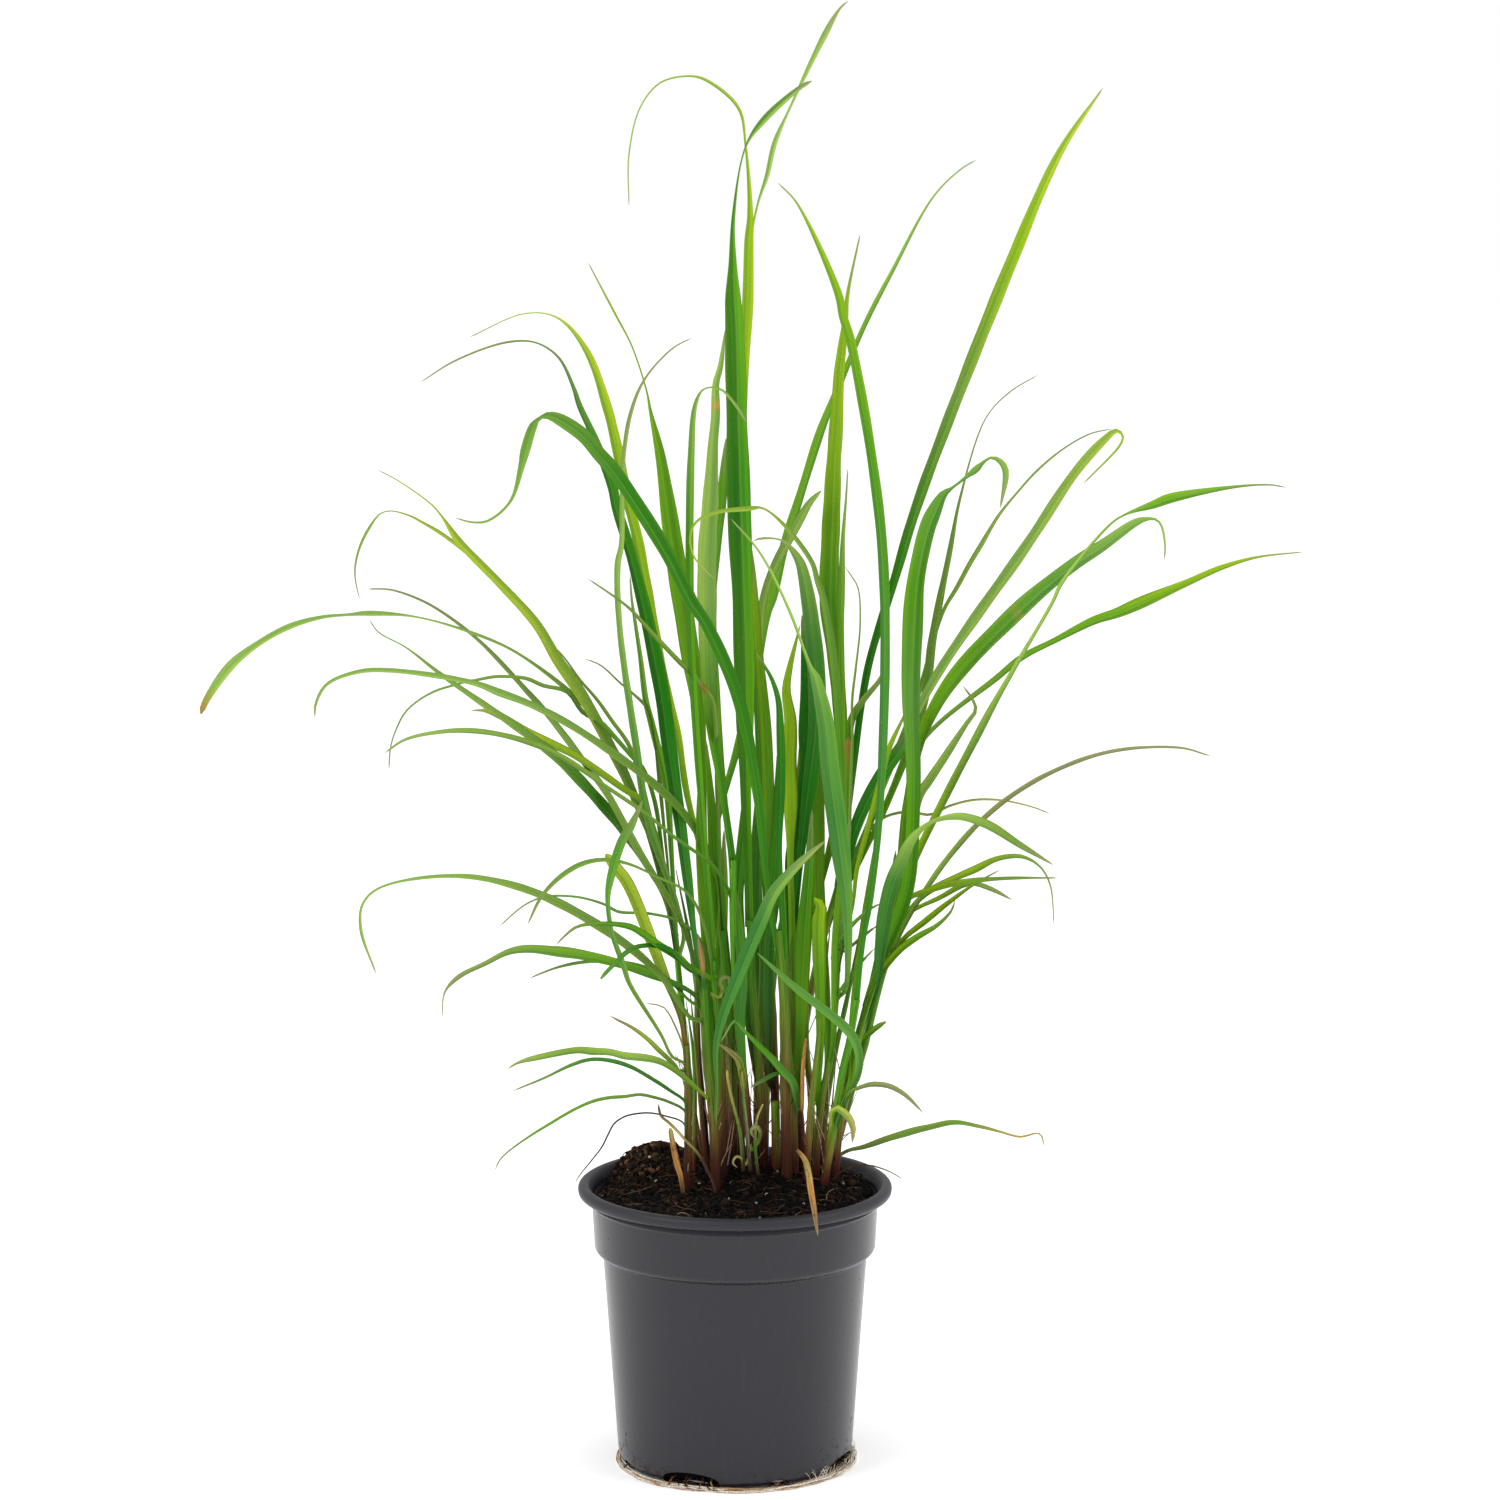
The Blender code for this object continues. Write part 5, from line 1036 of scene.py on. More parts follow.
               (576, 1051, 2.6), (534, 1059, 2.4), (516, 1064, 0.9), (508, 1069, 0.6)),
        depth=(-8, -26, -48, -68, -84), turn=(45,)),
    "leaf_right_wide": dict(
        stem="stem_13", at=1.0, slot="leaf_green", tones="fresh grass grass jade grass jade mint",
        route=((874, 980, 3), (903, 905, 5.8), (910, 875, 5.6), (914, 780, 6), (911.5, 700, 7),
               (913.4, 630, 8.4), (917, 580, 7.4), (927.6, 530, 6.5), (934, 514, 6.1), (944.4, 494, 3.2),
               (951, 489, 1.3), (968, 476, 1.6), (976, 470, 2.8), (983, 463, 1.4), (990, 458, 1),
               (998, 460, 2), (1005, 470, 2.8), (1000.4, 508, 0.6)),
        depth=(10, 4, 0, -4, -8, -10, -4), turn=(-22, -22, -25, -35)),
    "leaf_right_thin": dict(
        stem="stem_16", at=0.88, slot="leaf_green", tones="lime fresh sage sage dusk",
        route=((856, 870, 2), (893, 790, 3), (925, 700, 3.6), (933, 640, 3.6), (951, 547, 2.2),
               (960.4, 498, 1.1), (986, 418, 0.5), (1010, 392, 0.5), (1038, 375, 0.4)),
        depth=(62, 70, 78, 86, 94), turn=(-35,)),
    "leaf_right_hooked": dict(
        stem="stem_16", at=0.94, slot="leaf_yellow_green", tones="grass mint mint citron",
        route=((866, 830, 2), (897, 755, 3), (936, 678, 3.8), (1028, 545, 4.6), (1078, 470, 4),
               (1106, 439, 3.2), (1116, 431, 2), (1122.4, 435, 1.2), (1121, 443, 1.1), (1084, 483, 0.6)),
        depth=(58, 58, 66, 78, 92, 106, 116), turn=(-38,)),
    "leaf_right_broad": dict(
        stem="stem_14", at=0.92, slot="leaf_green", tones="jade fresh fresh jade mint",
        route=((898, 900, 2), (906, 820, 3), (919, 745, 4.4), (929, 720, 4.8), (953, 680, 6),
               (1020, 610, 7), (1070, 568, 5.1), (1103, 546, 4.8), (1136.7, 522.5, 3.1), (1148, 519, 1.5),
               (1156.7, 520, 1), (1161.7, 527, 1), (1165, 548, 0.8), (1164, 560, 0.5)),
        depth=(36, 34, 28, 16, 2, -10, -16), turn=(-35,), spots=((0.66, 0.9, "tan"),)),
    "leaf_far_right_upper": dict(
        stem="stem_14", at=1.0, slot="leaf_yellow_green", tones="dusk lime sage mint mint fresh sage",
        route=((900, 900, 2.2), (914, 862, 3), (985, 722, 3), (1012, 673, 2), (1053, 602, 1.4),
               (1062, 583, 1.6), (1112, 523, 0.9), (1126.7, 514, 1), (1153.3, 505, 3.2), (1170, 499, 3.8),
               (1235, 487, 1.2), (1270, 485, 0.6), (1286, 487.5, 0.5)),
        depth=(30, 16, -2, -26, -50, -74, -92), turn=(-38,)),
    "leaf_far_right": dict(
        stem="stem_14", at=0.74, slot="leaf_green", tones="umber sage jade sage fresh fresh lime lime",
        route=((895, 900, 1.8), (906, 800, 1.8), (920, 745, 1.8), (1000, 676, 2.5), (1022, 658, 2.8),
               (1056.7, 640, 2.4), (1095, 621, 3.8), (1116.7, 614, 4.5), (1136.7, 605.5, 5),
               (1186.7, 583.5, 3.1), (1220, 568.5, 2.2), (1256.7, 557.5, 1.1), (1303, 552, 0.4)),
        depth=(46, 52, 56, 60, 64, 68), turn=(-42,)),
    "leaf_right_olive_arch": dict(
        stem="stem_14", at=0.96, slot="leaf_olive", tones="sage mint dusk dusk dusk",
        route=((905, 925), (920, 899), (955, 850), (995, 809), (1045, 776), (1110, 752), (1180, 748),
               (1210, 756)),
        width=(2, 2.4, 2.4, 2, 1.7, 1.2, 0.6), depth=(30, 22, 10, -4, -20, -34), turn=(-45,)),
    "leaf_right_blue_arch": dict(
        stem="stem_13", at=0.9, slot="leaf_blue_green", tones="jade sea sea sea mint mint sage sage",
        route=((877, 985, 2.6), (881, 950, 5), (889.5, 895, 6), (904, 857, 5.4), (914, 838, 3.6),
               (928.3, 824.2, 1.8), (943, 818.5, 2), (961.7, 817, 3.1), (986.7, 824.7, 3.6),
               (1020, 845.3, 2.7), (1053.3, 865, 0.5)),
        depth=(6, -10, -28, -48, -68, -88), turn=(-30,)),
    "leaf_base_right": dict(
        stem="stem_13", at=0.08, slot="leaf_green", tones="dusk sage sage tan",
        route=((846, 1152), (865, 1147), (895, 1137), (925, 1129), (955, 1123), (980, 1127), (1000, 1132),
               (1020, 1137), (1040, 1134), (1044, 1146)),
        width=(1.4, 2.2, 2.9, 2.8, 2.2, 1.6, 1, 0.7, 0.5), depth=(14, -2, -22, -42, -58), turn=(-48,)),
}


def blade_finish():
    """Green blade: each point's own tone, streaked along the veins, with a pale midrib, thin light
    edges and small flecks. Light passes through it a little."""
    finish = Finish("blade", {"Specular IOR Level": 0.14, "Subsurface Weight": 0.08,
                              "Subsurface Radius": (1.0, 0.9, 0.2), "Subsurface Scale": 0.9 * MM})
    veins, streaks = finish.streaks(2400.0, 14.0, 2.0), finish.streaks(620.0, 9.0, 3.0)
    patches = finish.noise(finish.place(), 55.0, 3.0)
    flecks = finish.between(finish.streaks(900.0, 260.0, 2.0), 0.68, 0.76)
    off_middle = abs(finish.attribute("across", "Fac"))
    midrib = 1.0 - finish.between(off_middle, 0.03, 0.13)
    edge = finish.between(off_middle, 0.84, 0.98)
    grain = finish.between(streaks, 0.25, 0.75) * 0.8 + finish.between(veins, 0.3, 0.7) * 0.2
    colour = finish.shaded(grain, finish.attribute("tone", "Color"), (0.70, 0.78, 0.70), (1.28, 1.2, 1.0))
    colour = finish.mix(finish.between(patches, 0.4, 0.7) * 0.25, colour,
                        finish.times(colour, (1.25, 1.05, 0.8)))
    colour = finish.mix(midrib * 0.20 + edge * 0.16, colour,
                        finish.mix(0.4, colour, linear(190, 212, 120)))
    colour = finish.mix(flecks * 0.16, colour, linear(186, 194, 100))
    return finish.feed(Base_Color=colour, Roughness=streaks * 0.12 + patches * 0.08 + 0.42,
                       Normal=finish.bump(veins + streaks * 0.6, 0.05 * MM, 0.7))


def leaf_line(leaf, step):
    """The blade's centre line, its fourth column the width seen. It starts inside its stem, the share
    at up it, and follows its route: picture x and y, and the width seen in mm, or else width gives
    that, spread evenly along the route. So is depth, in mm, while at_depth is one for each point."""
    route = np.array(leaf["route"], float)
    share = shares_along(route[:, :2])
    depths = leaf["at_depth"] if "at_depth" in leaf else spread(leaf["depth"], share)
    widths = spread(leaf["width"], share) if "width" in leaf else route[:, 2]
    points = [on_sight_line(px, py, depth * MM) for (px, py), depth in zip(route[:, :2], depths)]
    points = np.column_stack((points, widths * MM))
    if "stem" not in leaf:
        return smooth_line(points, step)
    line = STEM_LINES[leaf["stem"]]
    run = run_along(line)
    place = STEM_SUNK + leaf["at"] * (run[-1] - STEM_SUNK)
    index = min(np.searchsorted(run, place), len(line) - 1)
    here, along = line[index], unit(line[index] - line[index - 1])
    if leaf["at"] >= 1.0:
        starts = [here - along * INSIDE_TOP]
    else:
        radius = STEMS[leaf["stem"]]["diameter"] * MM / 2
        out = points[0, :3] - here
        out = unit(out - along * np.dot(out, along))
        inside = here - along * min(INSIDE_SIDE, place - 2 * MM) + out * radius * 0.25
        starts = [inside, here + out * radius * 0.7]
    starts = np.column_stack((starts, np.full(len(starts), points[0, 3])))
    return smooth_line(np.vstack((starts, points)), step)


def ring_along(upper, lower):
    """Closed rings, over the upper face and back along the lower one, without its edge points."""
    return np.concatenate((upper, lower[:, -2:0:-1]), axis=1)


def wave(run, shortest, longest, draw, shift=0.0):
    """sin(run / pace + start + shift), its pace drawn between two lengths in mm, its start at random."""
    return np.sin(run / draw.uniform(shortest, longest) / MM + draw.uniform(0, 6) + shift)


def blade(leaf, draw, step=2.2 * MM, across=ACROSS):
    """A V-folded blade round its line. At c from -1 to 1 across, the middle of its thickness is
    line + half c beside + half fold (|c|^1.3 - 1/2) upper, plus ripples c^2 sin(run) at the edges.
    The faces stand half the thickness off it, and the lower one has the rib, exp(-(c/0.11)^2).
    turn is how far, in degrees, the upper face turns from the view. A blunt blade ends half wide."""
    rows = leaf_line(leaf, step)
    line, seen = rows[:, :3], np.maximum(rows[:, 3], THINNEST)
    share, run = shares_along(line), run_along(line)
    turn = spread(leaf["turn"], share) + 4 * wave(run, 30, 60, draw) * np.minimum(1, share * 4)
    half = seen / np.cos(np.radians(turn)) / 2 * (1 + 0.02 * wave(run, 9, 16, draw))
    end_share, end_length = (0.5, 1.2 * MM) if leaf.get("blunt") else (0.25, 2.5 * MM)
    half *= np.minimum(1, end_share + (run[-1] - run) / end_length)
    beside, upper = frames(line, turn)
    fold = leaf.get("fold", FOLD) * (1 + 1.5 * np.exp(-run / CHANNEL_LENGTH))
    c, half = across[None, :], half[:, None]
    ripple = 0.05 * half * c ** 2 * wave(run[:, None], 3, 6, draw, 1.9 * np.sign(c))
    rise = half * fold[:, None] * (np.abs(c) ** 1.3 - 0.5) + ripple
    thick = np.minimum(np.interp(share, (0, 1), (BLADE_THICKNESS, TIP_THICKNESS))[:, None], half * 0.6)
    thick = thick * (1 - 0.62 * np.abs(c))
    rib = np.minimum(RIB_HEIGHT * (1 - share[:, None]), half * 0.2) * np.exp(-(c / 0.11) ** 2)
    groove = 0.2 * rib
    middle = line[:, None] + beside[:, None] * (half * c)[..., None] + upper[:, None] * rise[..., None]
    above = middle + upper[:, None] * (thick / 2 - groove)[..., None]
    below = middle - upper[:, None] * (thick / 2 + rib)[..., None]
    rings = ring_along(above, below)
    place, along = np.broadcast_arrays(c, run[:, None])
    uv = np.stack((half * c, along), -1)
    return (rings.reshape(-1, 3), tube_faces(*rings.shape[:2]),
            blade_tones(leaf, draw, share, run, across).reshape(-1, 3),
            ring_along(uv, uv + (0.05, 0.0)).reshape(-1, 2), ring_along(place, place).ravel())


def blade_tones(leaf, draw, share, run, across):
    """The leaf's tones, spread from its foot to its tip, the underside paler. side is how much lighter
    one half is, as painted light and shade of the V-fold, one half lit and the other shaded; tip is the
    tone of its dry tip, and spots are dry: share, size in mm and tone each."""
    named = np.array([TONES[name] for name in leaf["tones"].split()])
    base = spread(named, share)[:, None] * draw.uniform(0.93, 1.07)
    # Painted light and shade: one half of the V-fold is lightened and the other darkened, as if lit from
    # one side.
    painted_fold_light = leaf.get("side", draw.choice((-1, 1)) * draw.uniform(0.06, 0.18))
    above = base * (1 + painted_fold_light * np.tanh(across / 0.15)[:, None] * (1.6, 1.0, 0.4))
    tip = leaf.get("tip", None if leaf.get("blunt") else "dusk")
    if tip:
        dry = np.clip(1 - (run[-1] - run) / (draw.uniform(8, 30) * MM), 0, 1)[:, None, None]
        above = above + (TONES[tip] - above) * dry * 0.8
    for place, size, tone in leaf.get("spots", ()):
        off = ((share - place) * run[-1] / (size * MM))[:, None] ** 2 + (across - 0.2) ** 2 / 2
        above = above + (TONES[tone] - above) * np.exp(-off)[..., None] * 0.85
    return ring_along(above, above * 0.88 + TONES["sage"] * 0.08)


draw = np.random.default_rng(47)
blade_green = blade_finish()
for name, leaf in LEAVES.items():
    piece = add_piece(name.replace("leaf_", "blade_"), blade_green, leaf["slot"], *blade(leaf, draw))
    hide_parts(name)

# Small leaves
# The thinner leaves, side shoots and young blades between the main ones, joined in five pieces by
# their place in the clump. Each still starts inside its own stem. Inner leaves fill the middle.
SMALL_ACROSS = np.array((-1, -0.6, -0.2, 0, 0.2, 0.6, 1))
SMALL_LEAVES = {
    "small_leaves_centre": ("leaf_green", (
        dict(stem="stem_08", at=0.97, tones="grass fresh mint mint", depth=(40, 46, 44, 40), turn=(-30,),
             blunt=True,
             route=((766, 850, 2), (763, 760, 3), (760, 680, 3.4), (761, 620, 3.4), (766, 590, 3.4),
                    (778, 560, 3.6), (789, 540, 3.8), (800, 520, 3.6), (810, 503, 2.8), (821, 491, 1.2))),
        dict(stem="stem_09", at=0.93, tones="forest deep forest", depth=(-8, -14, -20, -28), turn=(25,),
             route=((779, 850), (781, 780), (780, 730), (778, 700), (772, 680), (764, 665), (756, 653)),
             width=(2.4, 3.5, 3.5, 3.2, 2, 0.6)),
        dict(stem="stem_08", at=0.98, tones="grass fresh lime", depth=(22, 20, 16), turn=(-20,),
             route=((768, 860, 3), (769, 800, 4.6), (767, 740, 4.8), (763, 690, 4.2), (759, 650, 3.4),
                    (756, 610, 3.3), (753, 570, 2.2), (751, 545, 0.6))),
        dict(stem="stem_06", at=0.95, tones="grass fresh grass", depth=(10, 18, 26, 34), turn=(-20,),
             route=((722, 760, 2), (716, 680, 3), (712, 620, 3), (713, 590, 3.2), (716, 560, 3.2),
                    (719, 530, 3.6), (722, 500, 4.1), (724, 470, 3.2), (726, 438, 0.6))),
        dict(stem="stem_11", at=0.96, tones="grass fresh fresh mint", depth=(20, 34, 44), turn=(-20,),
             route=((843, 760, 2), (842, 680, 2.6), (841, 620, 2.8), (842, 580, 2.8), (843, 540, 1.8),
                    (846, 500, 1), (848, 468, 0.5))),
        dict(stem="stem_11", at=0.97, tones="grass fresh", depth=(4, 2, 0), turn=(20,), blunt=True,
             tip="rust",
             route=((845, 800, 2.5), (846, 775, 3.5), (847, 750, 4), (848, 738, 2))),
        dict(stem="stem_10", at=0.93, tones="fresh lime lime", depth=(16, 12, 8), turn=(22,),
             route=((790, 850), (790, 800), (789, 760), (790, 720), (786, 690), (790, 665), (795, 645),
                    (800, 625)), width=(3, 5.5, 6.2, 6, 5, 3.6, 2, 0.6)),
        dict(stem="stem_10", at=0.9, tones="forest deep deep", depth=(28, 34, 40), turn=(-20,),
             route=((792, 900), (794, 860), (803, 820), (808, 790), (811, 760), (809, 730), (808, 690),
                    (806, 650), (802, 615)), width=(4, 7, 8.5, 9, 9, 8, 6, 4, 1)),
        dict(stem="stem_10", at=0.25, tones="sea jade grass jade", depth=(10, -8, -24, -34), turn=(35,),
             route=((799, 1110), (796, 1095), (792, 1082), (783, 1072), (770, 1057), (755, 1042),
                    (743, 1030), (734, 1021), (728, 1030), (721, 1042)),
             width=(2.6, 3.4, 3.4, 3, 2.4, 2, 1.2, 0.8, 0.6)),
        dict(stem="stem_09", at=0.4, tones="deep forest", depth=(0, -12), turn=(40,),
             route=((780, 1073), (768, 1078), (750, 1088)), width=(1.4, 2, 0.6)),
        dict(stem="stem_11", at=0.9, tones="jade sage sage", depth=(4, 0, -10, -18), turn=(30,),
             route=((846, 900), (850, 800), (852, 740), (852, 700), (856, 665), (860, 625), (858, 588),
                    (852, 577), (845, 567)), width=(1.6, 1.6, 1.4, 1.2, 1.0, 0.7, 0.5)),
        dict(stem="stem_11", at=0.97, tones="deep deep forest", depth=(10, 18, 24), turn=(-30,),
             route=((845, 900, 3), (850, 850, 4.5), (857, 825, 5), (873, 790, 5.4), (887, 768, 5.4),
                    (900, 750, 5), (912, 728, 4), (920, 705, 0.6))),
        dict(stem="stem_11", at=0.94, tones="grass lime lime", depth=(0, 6, 12), turn=(-30,),
             route=((853, 905, 1.4), (857, 870, 2), (866, 835, 2.2), (874, 805, 2.4), (882, 776, 2.4),
                    (890, 747, 2.2), (899, 727, 1.4), (908, 708, 0.5))),
        dict(stem="stem_16", at=0.98, tones="grass fresh mint", depth=(52, 44, 38), turn=(-30,),
             route=((846, 840), (848, 780), (852, 720), (864, 700), (880, 680), (890, 655)),
             width=(2, 3, 3.3, 3.3, 2.4, 0.6)),
    )),
    "inner_leaves": ("leaf_dark", (
        dict(stem="stem_04", at=0.35, tones="grass forest grass fresh", depth=(24, 34, 30), turn=(20,),
             route=((736, 1080, 3), (730, 1020, 4.4), (724, 960, 5), (718, 900, 5.4), (714, 850, 5),
                    (710, 790, 3), (706, 740, 0.8))),
        dict(stem="stem_07", at=0.35, tones="umber forest forest grass", depth=(22, 30, 40), turn=(-20,),
             route=((758, 1080, 2.6), (750, 1020, 4.4), (742, 960, 5.2), (738, 900, 5), (742, 850, 4.6),
                    (746, 800, 3), (748, 760, 0.8))),
        dict(stem="stem_08", at=0.35, tones="umber forest sea forest", depth=(36, 44, 50), turn=(20,),
             route=((768, 1075, 3), (761, 1010, 4.6), (756, 950, 5.6), (755, 890, 5.6), (757, 830, 4.4),
                    (759, 770, 1))),
        dict(stem="stem_08", at=0.3, tones="umber sea forest forest", depth=(20, 14, 20), turn=(-20,),
             route=((770, 1080, 3), (768, 1020, 5), (768, 960, 5), (772, 900, 5.2), (776, 850, 5),
                    (778, 790, 3), (778, 750, 0.8))),
        dict(stem="stem_10", at=0.3, tones="umber grass forest grass", depth=(30, 40, 46), turn=(20,),
             route=((792, 1080, 3), (788, 1020, 4.6), (786, 950, 5), (790, 890, 6), (796, 830, 6),
                    (800, 770, 3), (801, 730, 0.8))),
        dict(stem="stem_10", at=0.35, tones="grass fresh grass forest", depth=(16, 8, 4), turn=(-15,),
             route=((797, 1085, 3), (800, 1030, 5), (802, 980, 6.4), (804, 940, 6.6), (807, 900, 5.4),
                    (810, 860, 4), (812, 810, 0.8))),
        dict(stem="stem_11", at=0.3, tones="grass fresh fresh lime", depth=(6, 0, -6), turn=(15,),
             blunt=True,
             route=((818, 1090, 2.6), (820, 1040, 3.4), (820, 990, 4.6), (819, 950, 6), (819, 920, 6),
                    (820, 905, 4.6), (814, 898, 1.4))),
        dict(stem="stem_11", at=0.45, tones="fresh fresh fresh grass", depth=(12, 24, 30), turn=(-20,),
             route=((828, 1060, 2.6), (826, 1000, 4), (822, 940, 5), (818, 880, 6), (818, 830, 6),
                    (820, 790, 4), (822, 740, 0.8))),
        dict(stem="stem_11", at=0.5, tones="grass fresh fresh fresh", depth=(-2, -6, -8), turn=(15,),
             route=((833, 1040, 1.8), (834, 990, 2.6), (835, 940, 3), (840, 890, 3), (846, 850, 2.4),
                    (850, 820, 0.8))),
        dict(stem="stem_02", at=0.3, tones="umber grass fresh grass", depth=(4, 12, 10), turn=(20,),
             route=((712, 1080, 3), (709, 1020, 4.6), (708, 960, 5), (704, 900, 5), (700, 840, 4),
                    (698, 790, 0.8))),
        dict(stem="stem_03", at=0.4, tones="grass grass fresh", depth=(14, 20, 22), turn=(-20,),
             route=((720, 1060, 2.6), (718, 1000, 4), (722, 940, 4.6), (724, 880, 3.4), (724, 830, 0.8))),
        dict(stem="stem_06", at=0.35, tones="grass sea grass", depth=(2, 0, 4), turn=(20,),
             route=((744, 1080, 2.4), (740, 1020, 4), (742, 975, 4.6), (738, 920, 4), (733, 880, 0.8))),
        dict(stem="stem_14", at=0.3, tones="jade fresh fresh", depth=(34, 40, 44), turn=(-30,),
             route=((862, 1060, 2), (868, 1010, 2.8), (880, 950, 3), (890, 900, 2.8), (896, 850, 0.8))),
        dict(stem="stem_12", at=0.35, tones="fresh fresh fresh", depth=(-4, 2, 6), turn=(-30,),
             route=((850, 1080, 1.8), (852, 1030, 2.4), (856, 980, 2.4), (864, 920, 2.4), (872, 870, 2),
                    (878, 830, 0.8))),
    )),
    "small_leaves_left": ("leaf_yellow_green", (
        dict(stem="stem_05", at=0.93, tones="jade fresh jade", depth=(40, 34, 30), turn=(-20,),
             route=((672, 860), (666, 780), (656, 740), (651, 720), (646, 700), (641, 660), (638, 640),
                    (635, 620), (632, 600), (630, 575)), width=(2, 3.3, 3.3, 3, 2.6, 2, 1.4, 0.6)),
        dict(stem="stem_04", at=0.98, tones="grass sage sage sage", depth=(14, 6, -6, -20), turn=(40,),
             spots=((0.62, 2, "rust"),),
             route=((720, 870), (717, 790), (712, 700), (700, 685), (690, 672), (680, 663), (660, 642),
                    (640, 620), (633, 612), (620, 601), (600, 587), (588, 579)),
             width=(1.6, 2, 2, 2, 2.2, 2.4, 2, 1.8, 1, 0.5)),
        dict(stem="stem_05", at=0.9, tones="sage sage", depth=(44, 36, 28), turn=(40,),
             route=((668, 870), (660, 790), (655, 740), (648, 710), (632, 693), (620, 683), (600, 665),
                    (585, 659)), width=(1, 1.4, 2, 1.6, 0.9, 0.5)),
        dict(stem="stem_05", at=0.92, tones="jade grass sage jade", depth=(46, 52, 60, 62, 56, 50),
             turn=(35, 45, 50),
             route=((664, 870), (654, 800), (642, 768), (632, 757), (615, 738), (600, 722), (583, 713),
                    (567, 692), (543, 686), (527, 679), (510, 677), (495, 677), (478, 680), (462, 683),
                    (452, 686), (436, 691), (418, 701), (405, 713), (397, 728), (391, 746), (389, 770)),
             width=(1.6, 1.8, 2, 2, 1.8, 1.4, 1, 0.7, 0.5)),
        dict(stem="stem_05", at=0.95, tones="grass lime citron", depth=(46, 40, 28, 16), turn=(45,),
             route=((662, 860, 2), (640, 800, 2.5), (627, 792, 2.6), (610, 780, 2.8), (593, 768, 3),
                    (573, 755, 3.2), (553, 745, 3.2), (527, 732, 3.2), (510, 722, 3.2), (495, 714, 3),
                    (482, 710.5, 1.2), (470, 711, 0.4))),
        dict(stem="stem_05", at=0.95, tones="grass fresh citron sage", depth=(56, 64, 72, 76, 78),
             turn=(35,),
             route=((670, 890, 1.2), (652, 842, 1.4), (622, 775, 1.6), (582, 702, 1.8), (536, 628, 1.8),
                    (497, 584, 1.8), (470, 556, 1.7), (440, 533, 1.6), (423, 523, 1.1), (410, 516, 0.8),
                    (390, 511, 0.5), (380, 514, 0.6), (370, 527, 1.1), (362, 542, 1.1), (357, 557, 1),
                    (355, 573, 0.7), (357, 588, 0.5), (360, 600, 0.3))),
        dict(stem="stem_05", at=0.97, tones="jade sage sage", depth=(50, 62, 76), turn=(35,),
             route=((660, 870), (648, 810), (630, 748), (611, 720), (597, 700), (580, 680), (566, 660),
                    (556, 648)), width=(1.6, 2, 2, 1.8, 1.2, 0.6)),
        dict(stem="stem_02", at=0.86, tones="grass fresh sage", depth=(-6, 6, 20, 34), turn=(50,),
             route=((688, 1000), (668, 980), (645, 968), (620, 963), (590, 962), (560, 967), (530, 978)),
             width=(1.2, 1.6, 1.8, 1.6, 1.2, 0.5)),
        dict(stem="stem_02", at=0.97, tones="jade deep jade", depth=(-8, -20, -34, -44), turn=(45,),
             blunt=True,
             route=((694, 972), (685, 965), (670, 950), (655, 946), (645, 946), (635, 948), (625, 954),
                    (617, 962), (608, 971), (601, 979)), width=(1.2, 1.8, 2, 2, 2, 1.8, 1.6)),
        dict(stem="stem_03", at=0.9, tones="sage jade sage", depth=(10, 22, 40, 56, 66), turn=(48,),
             route=((700, 940), (680, 922), (650, 914), (618, 912), (605, 905), (590, 900), (575, 897),
                    (545, 897), (525, 905), (500, 926)), width=(1.2, 1.2, 1.2, 1, 0.8, 0.5)),
        dict(stem="stem_03", at=0.93, tones="grass fresh grass sage", depth=(0, -14, -30, -44, -54),
             turn=(42,),
             route=((715, 980), (700, 973), (690, 969), (677, 957), (661, 947), (645, 936), (632, 928),
                    (619, 925), (600, 924), (585, 925), (575, 928), (565, 936), (556, 945)),
             width=(2, 3, 3.3, 3, 2.4, 1.8, 1.2, 0.6)),
    )),
    "small_leaves_low_left": ("leaf_olive", (
        dict(stem="stem_01", at=0.35, tones="forest sea sea sage", depth=(-2, -16, -34, -50), turn=(48,),
             route=((686, 1104), (670, 1091), (650, 1078), (630, 1067), (610, 1061), (590, 1060),
                    (570, 1066), (545, 1078), (513, 1091)), width=(1.2, 1.6, 1.7, 1.7, 1.4, 1, 0.5)),
        dict(stem="stem_01", at=0.3, tones="jade sage fresh sage", depth=(0, 12, 26, 38, 44), turn=(48,),
             route=((686, 1113), (668, 1102), (655, 1098), (640, 1095), (625, 1097), (610, 1098),
                    (595, 1101), (580, 1107), (565, 1115), (550, 1124), (535, 1133), (520, 1143),
                    (508, 1152), (500, 1160), (495, 1170)), width=(1, 1.3, 1.4, 1.4, 1.3, 1.1, 0.8, 0.5)),
        dict(stem="stem_01", at=0.8, tones="grass sage citron rust", depth=(-6, -18, -26), turn=(40,),
             route=((680, 1072), (672, 1063), (658, 1050), (648, 1040), (638, 1032), (627, 1025),
                    (617, 1020), (610, 1016)), width=(1.4, 2, 2, 1.8, 1.2, 0.6)),
        dict(stem="stem_01", at=0.95, tones="sage straw", depth=(-4, -12), turn=(30,),
             route=((680, 1038), (674, 1024), (669, 1014), (663, 1007), (645, 1003)),
             width=(0.8, 0.8, 0.6, 0.5)),
    )),
    "small_leaves_right": ("leaf_green", (
        dict(stem="stem_16", at=0.9, tones="grass fresh mint sage", depth=(64, 76, 88, 96), turn=(-38,),
             route=((862, 850, 1.8), (893, 760, 2), (920, 690, 2), (935, 635, 1.8), (945, 608, 1.6),
                    (957, 588, 1.9), (970, 564, 2.1), (982, 544, 2), (990, 530, 1.6), (1000, 514, 1.3),
                    (1018, 492, 1), (1036, 472, 1), (1062, 450, 0.7), (1090, 434, 0.6), (1112, 429, 0.4))),
        dict(stem="stem_14", at=0.95, tones="fresh mint mint", depth=(30, 24, 14, 8), turn=(-32,),
             route=((900, 880), (912, 830), (920, 795), (930, 780), (942, 762), (955, 742), (968, 722),
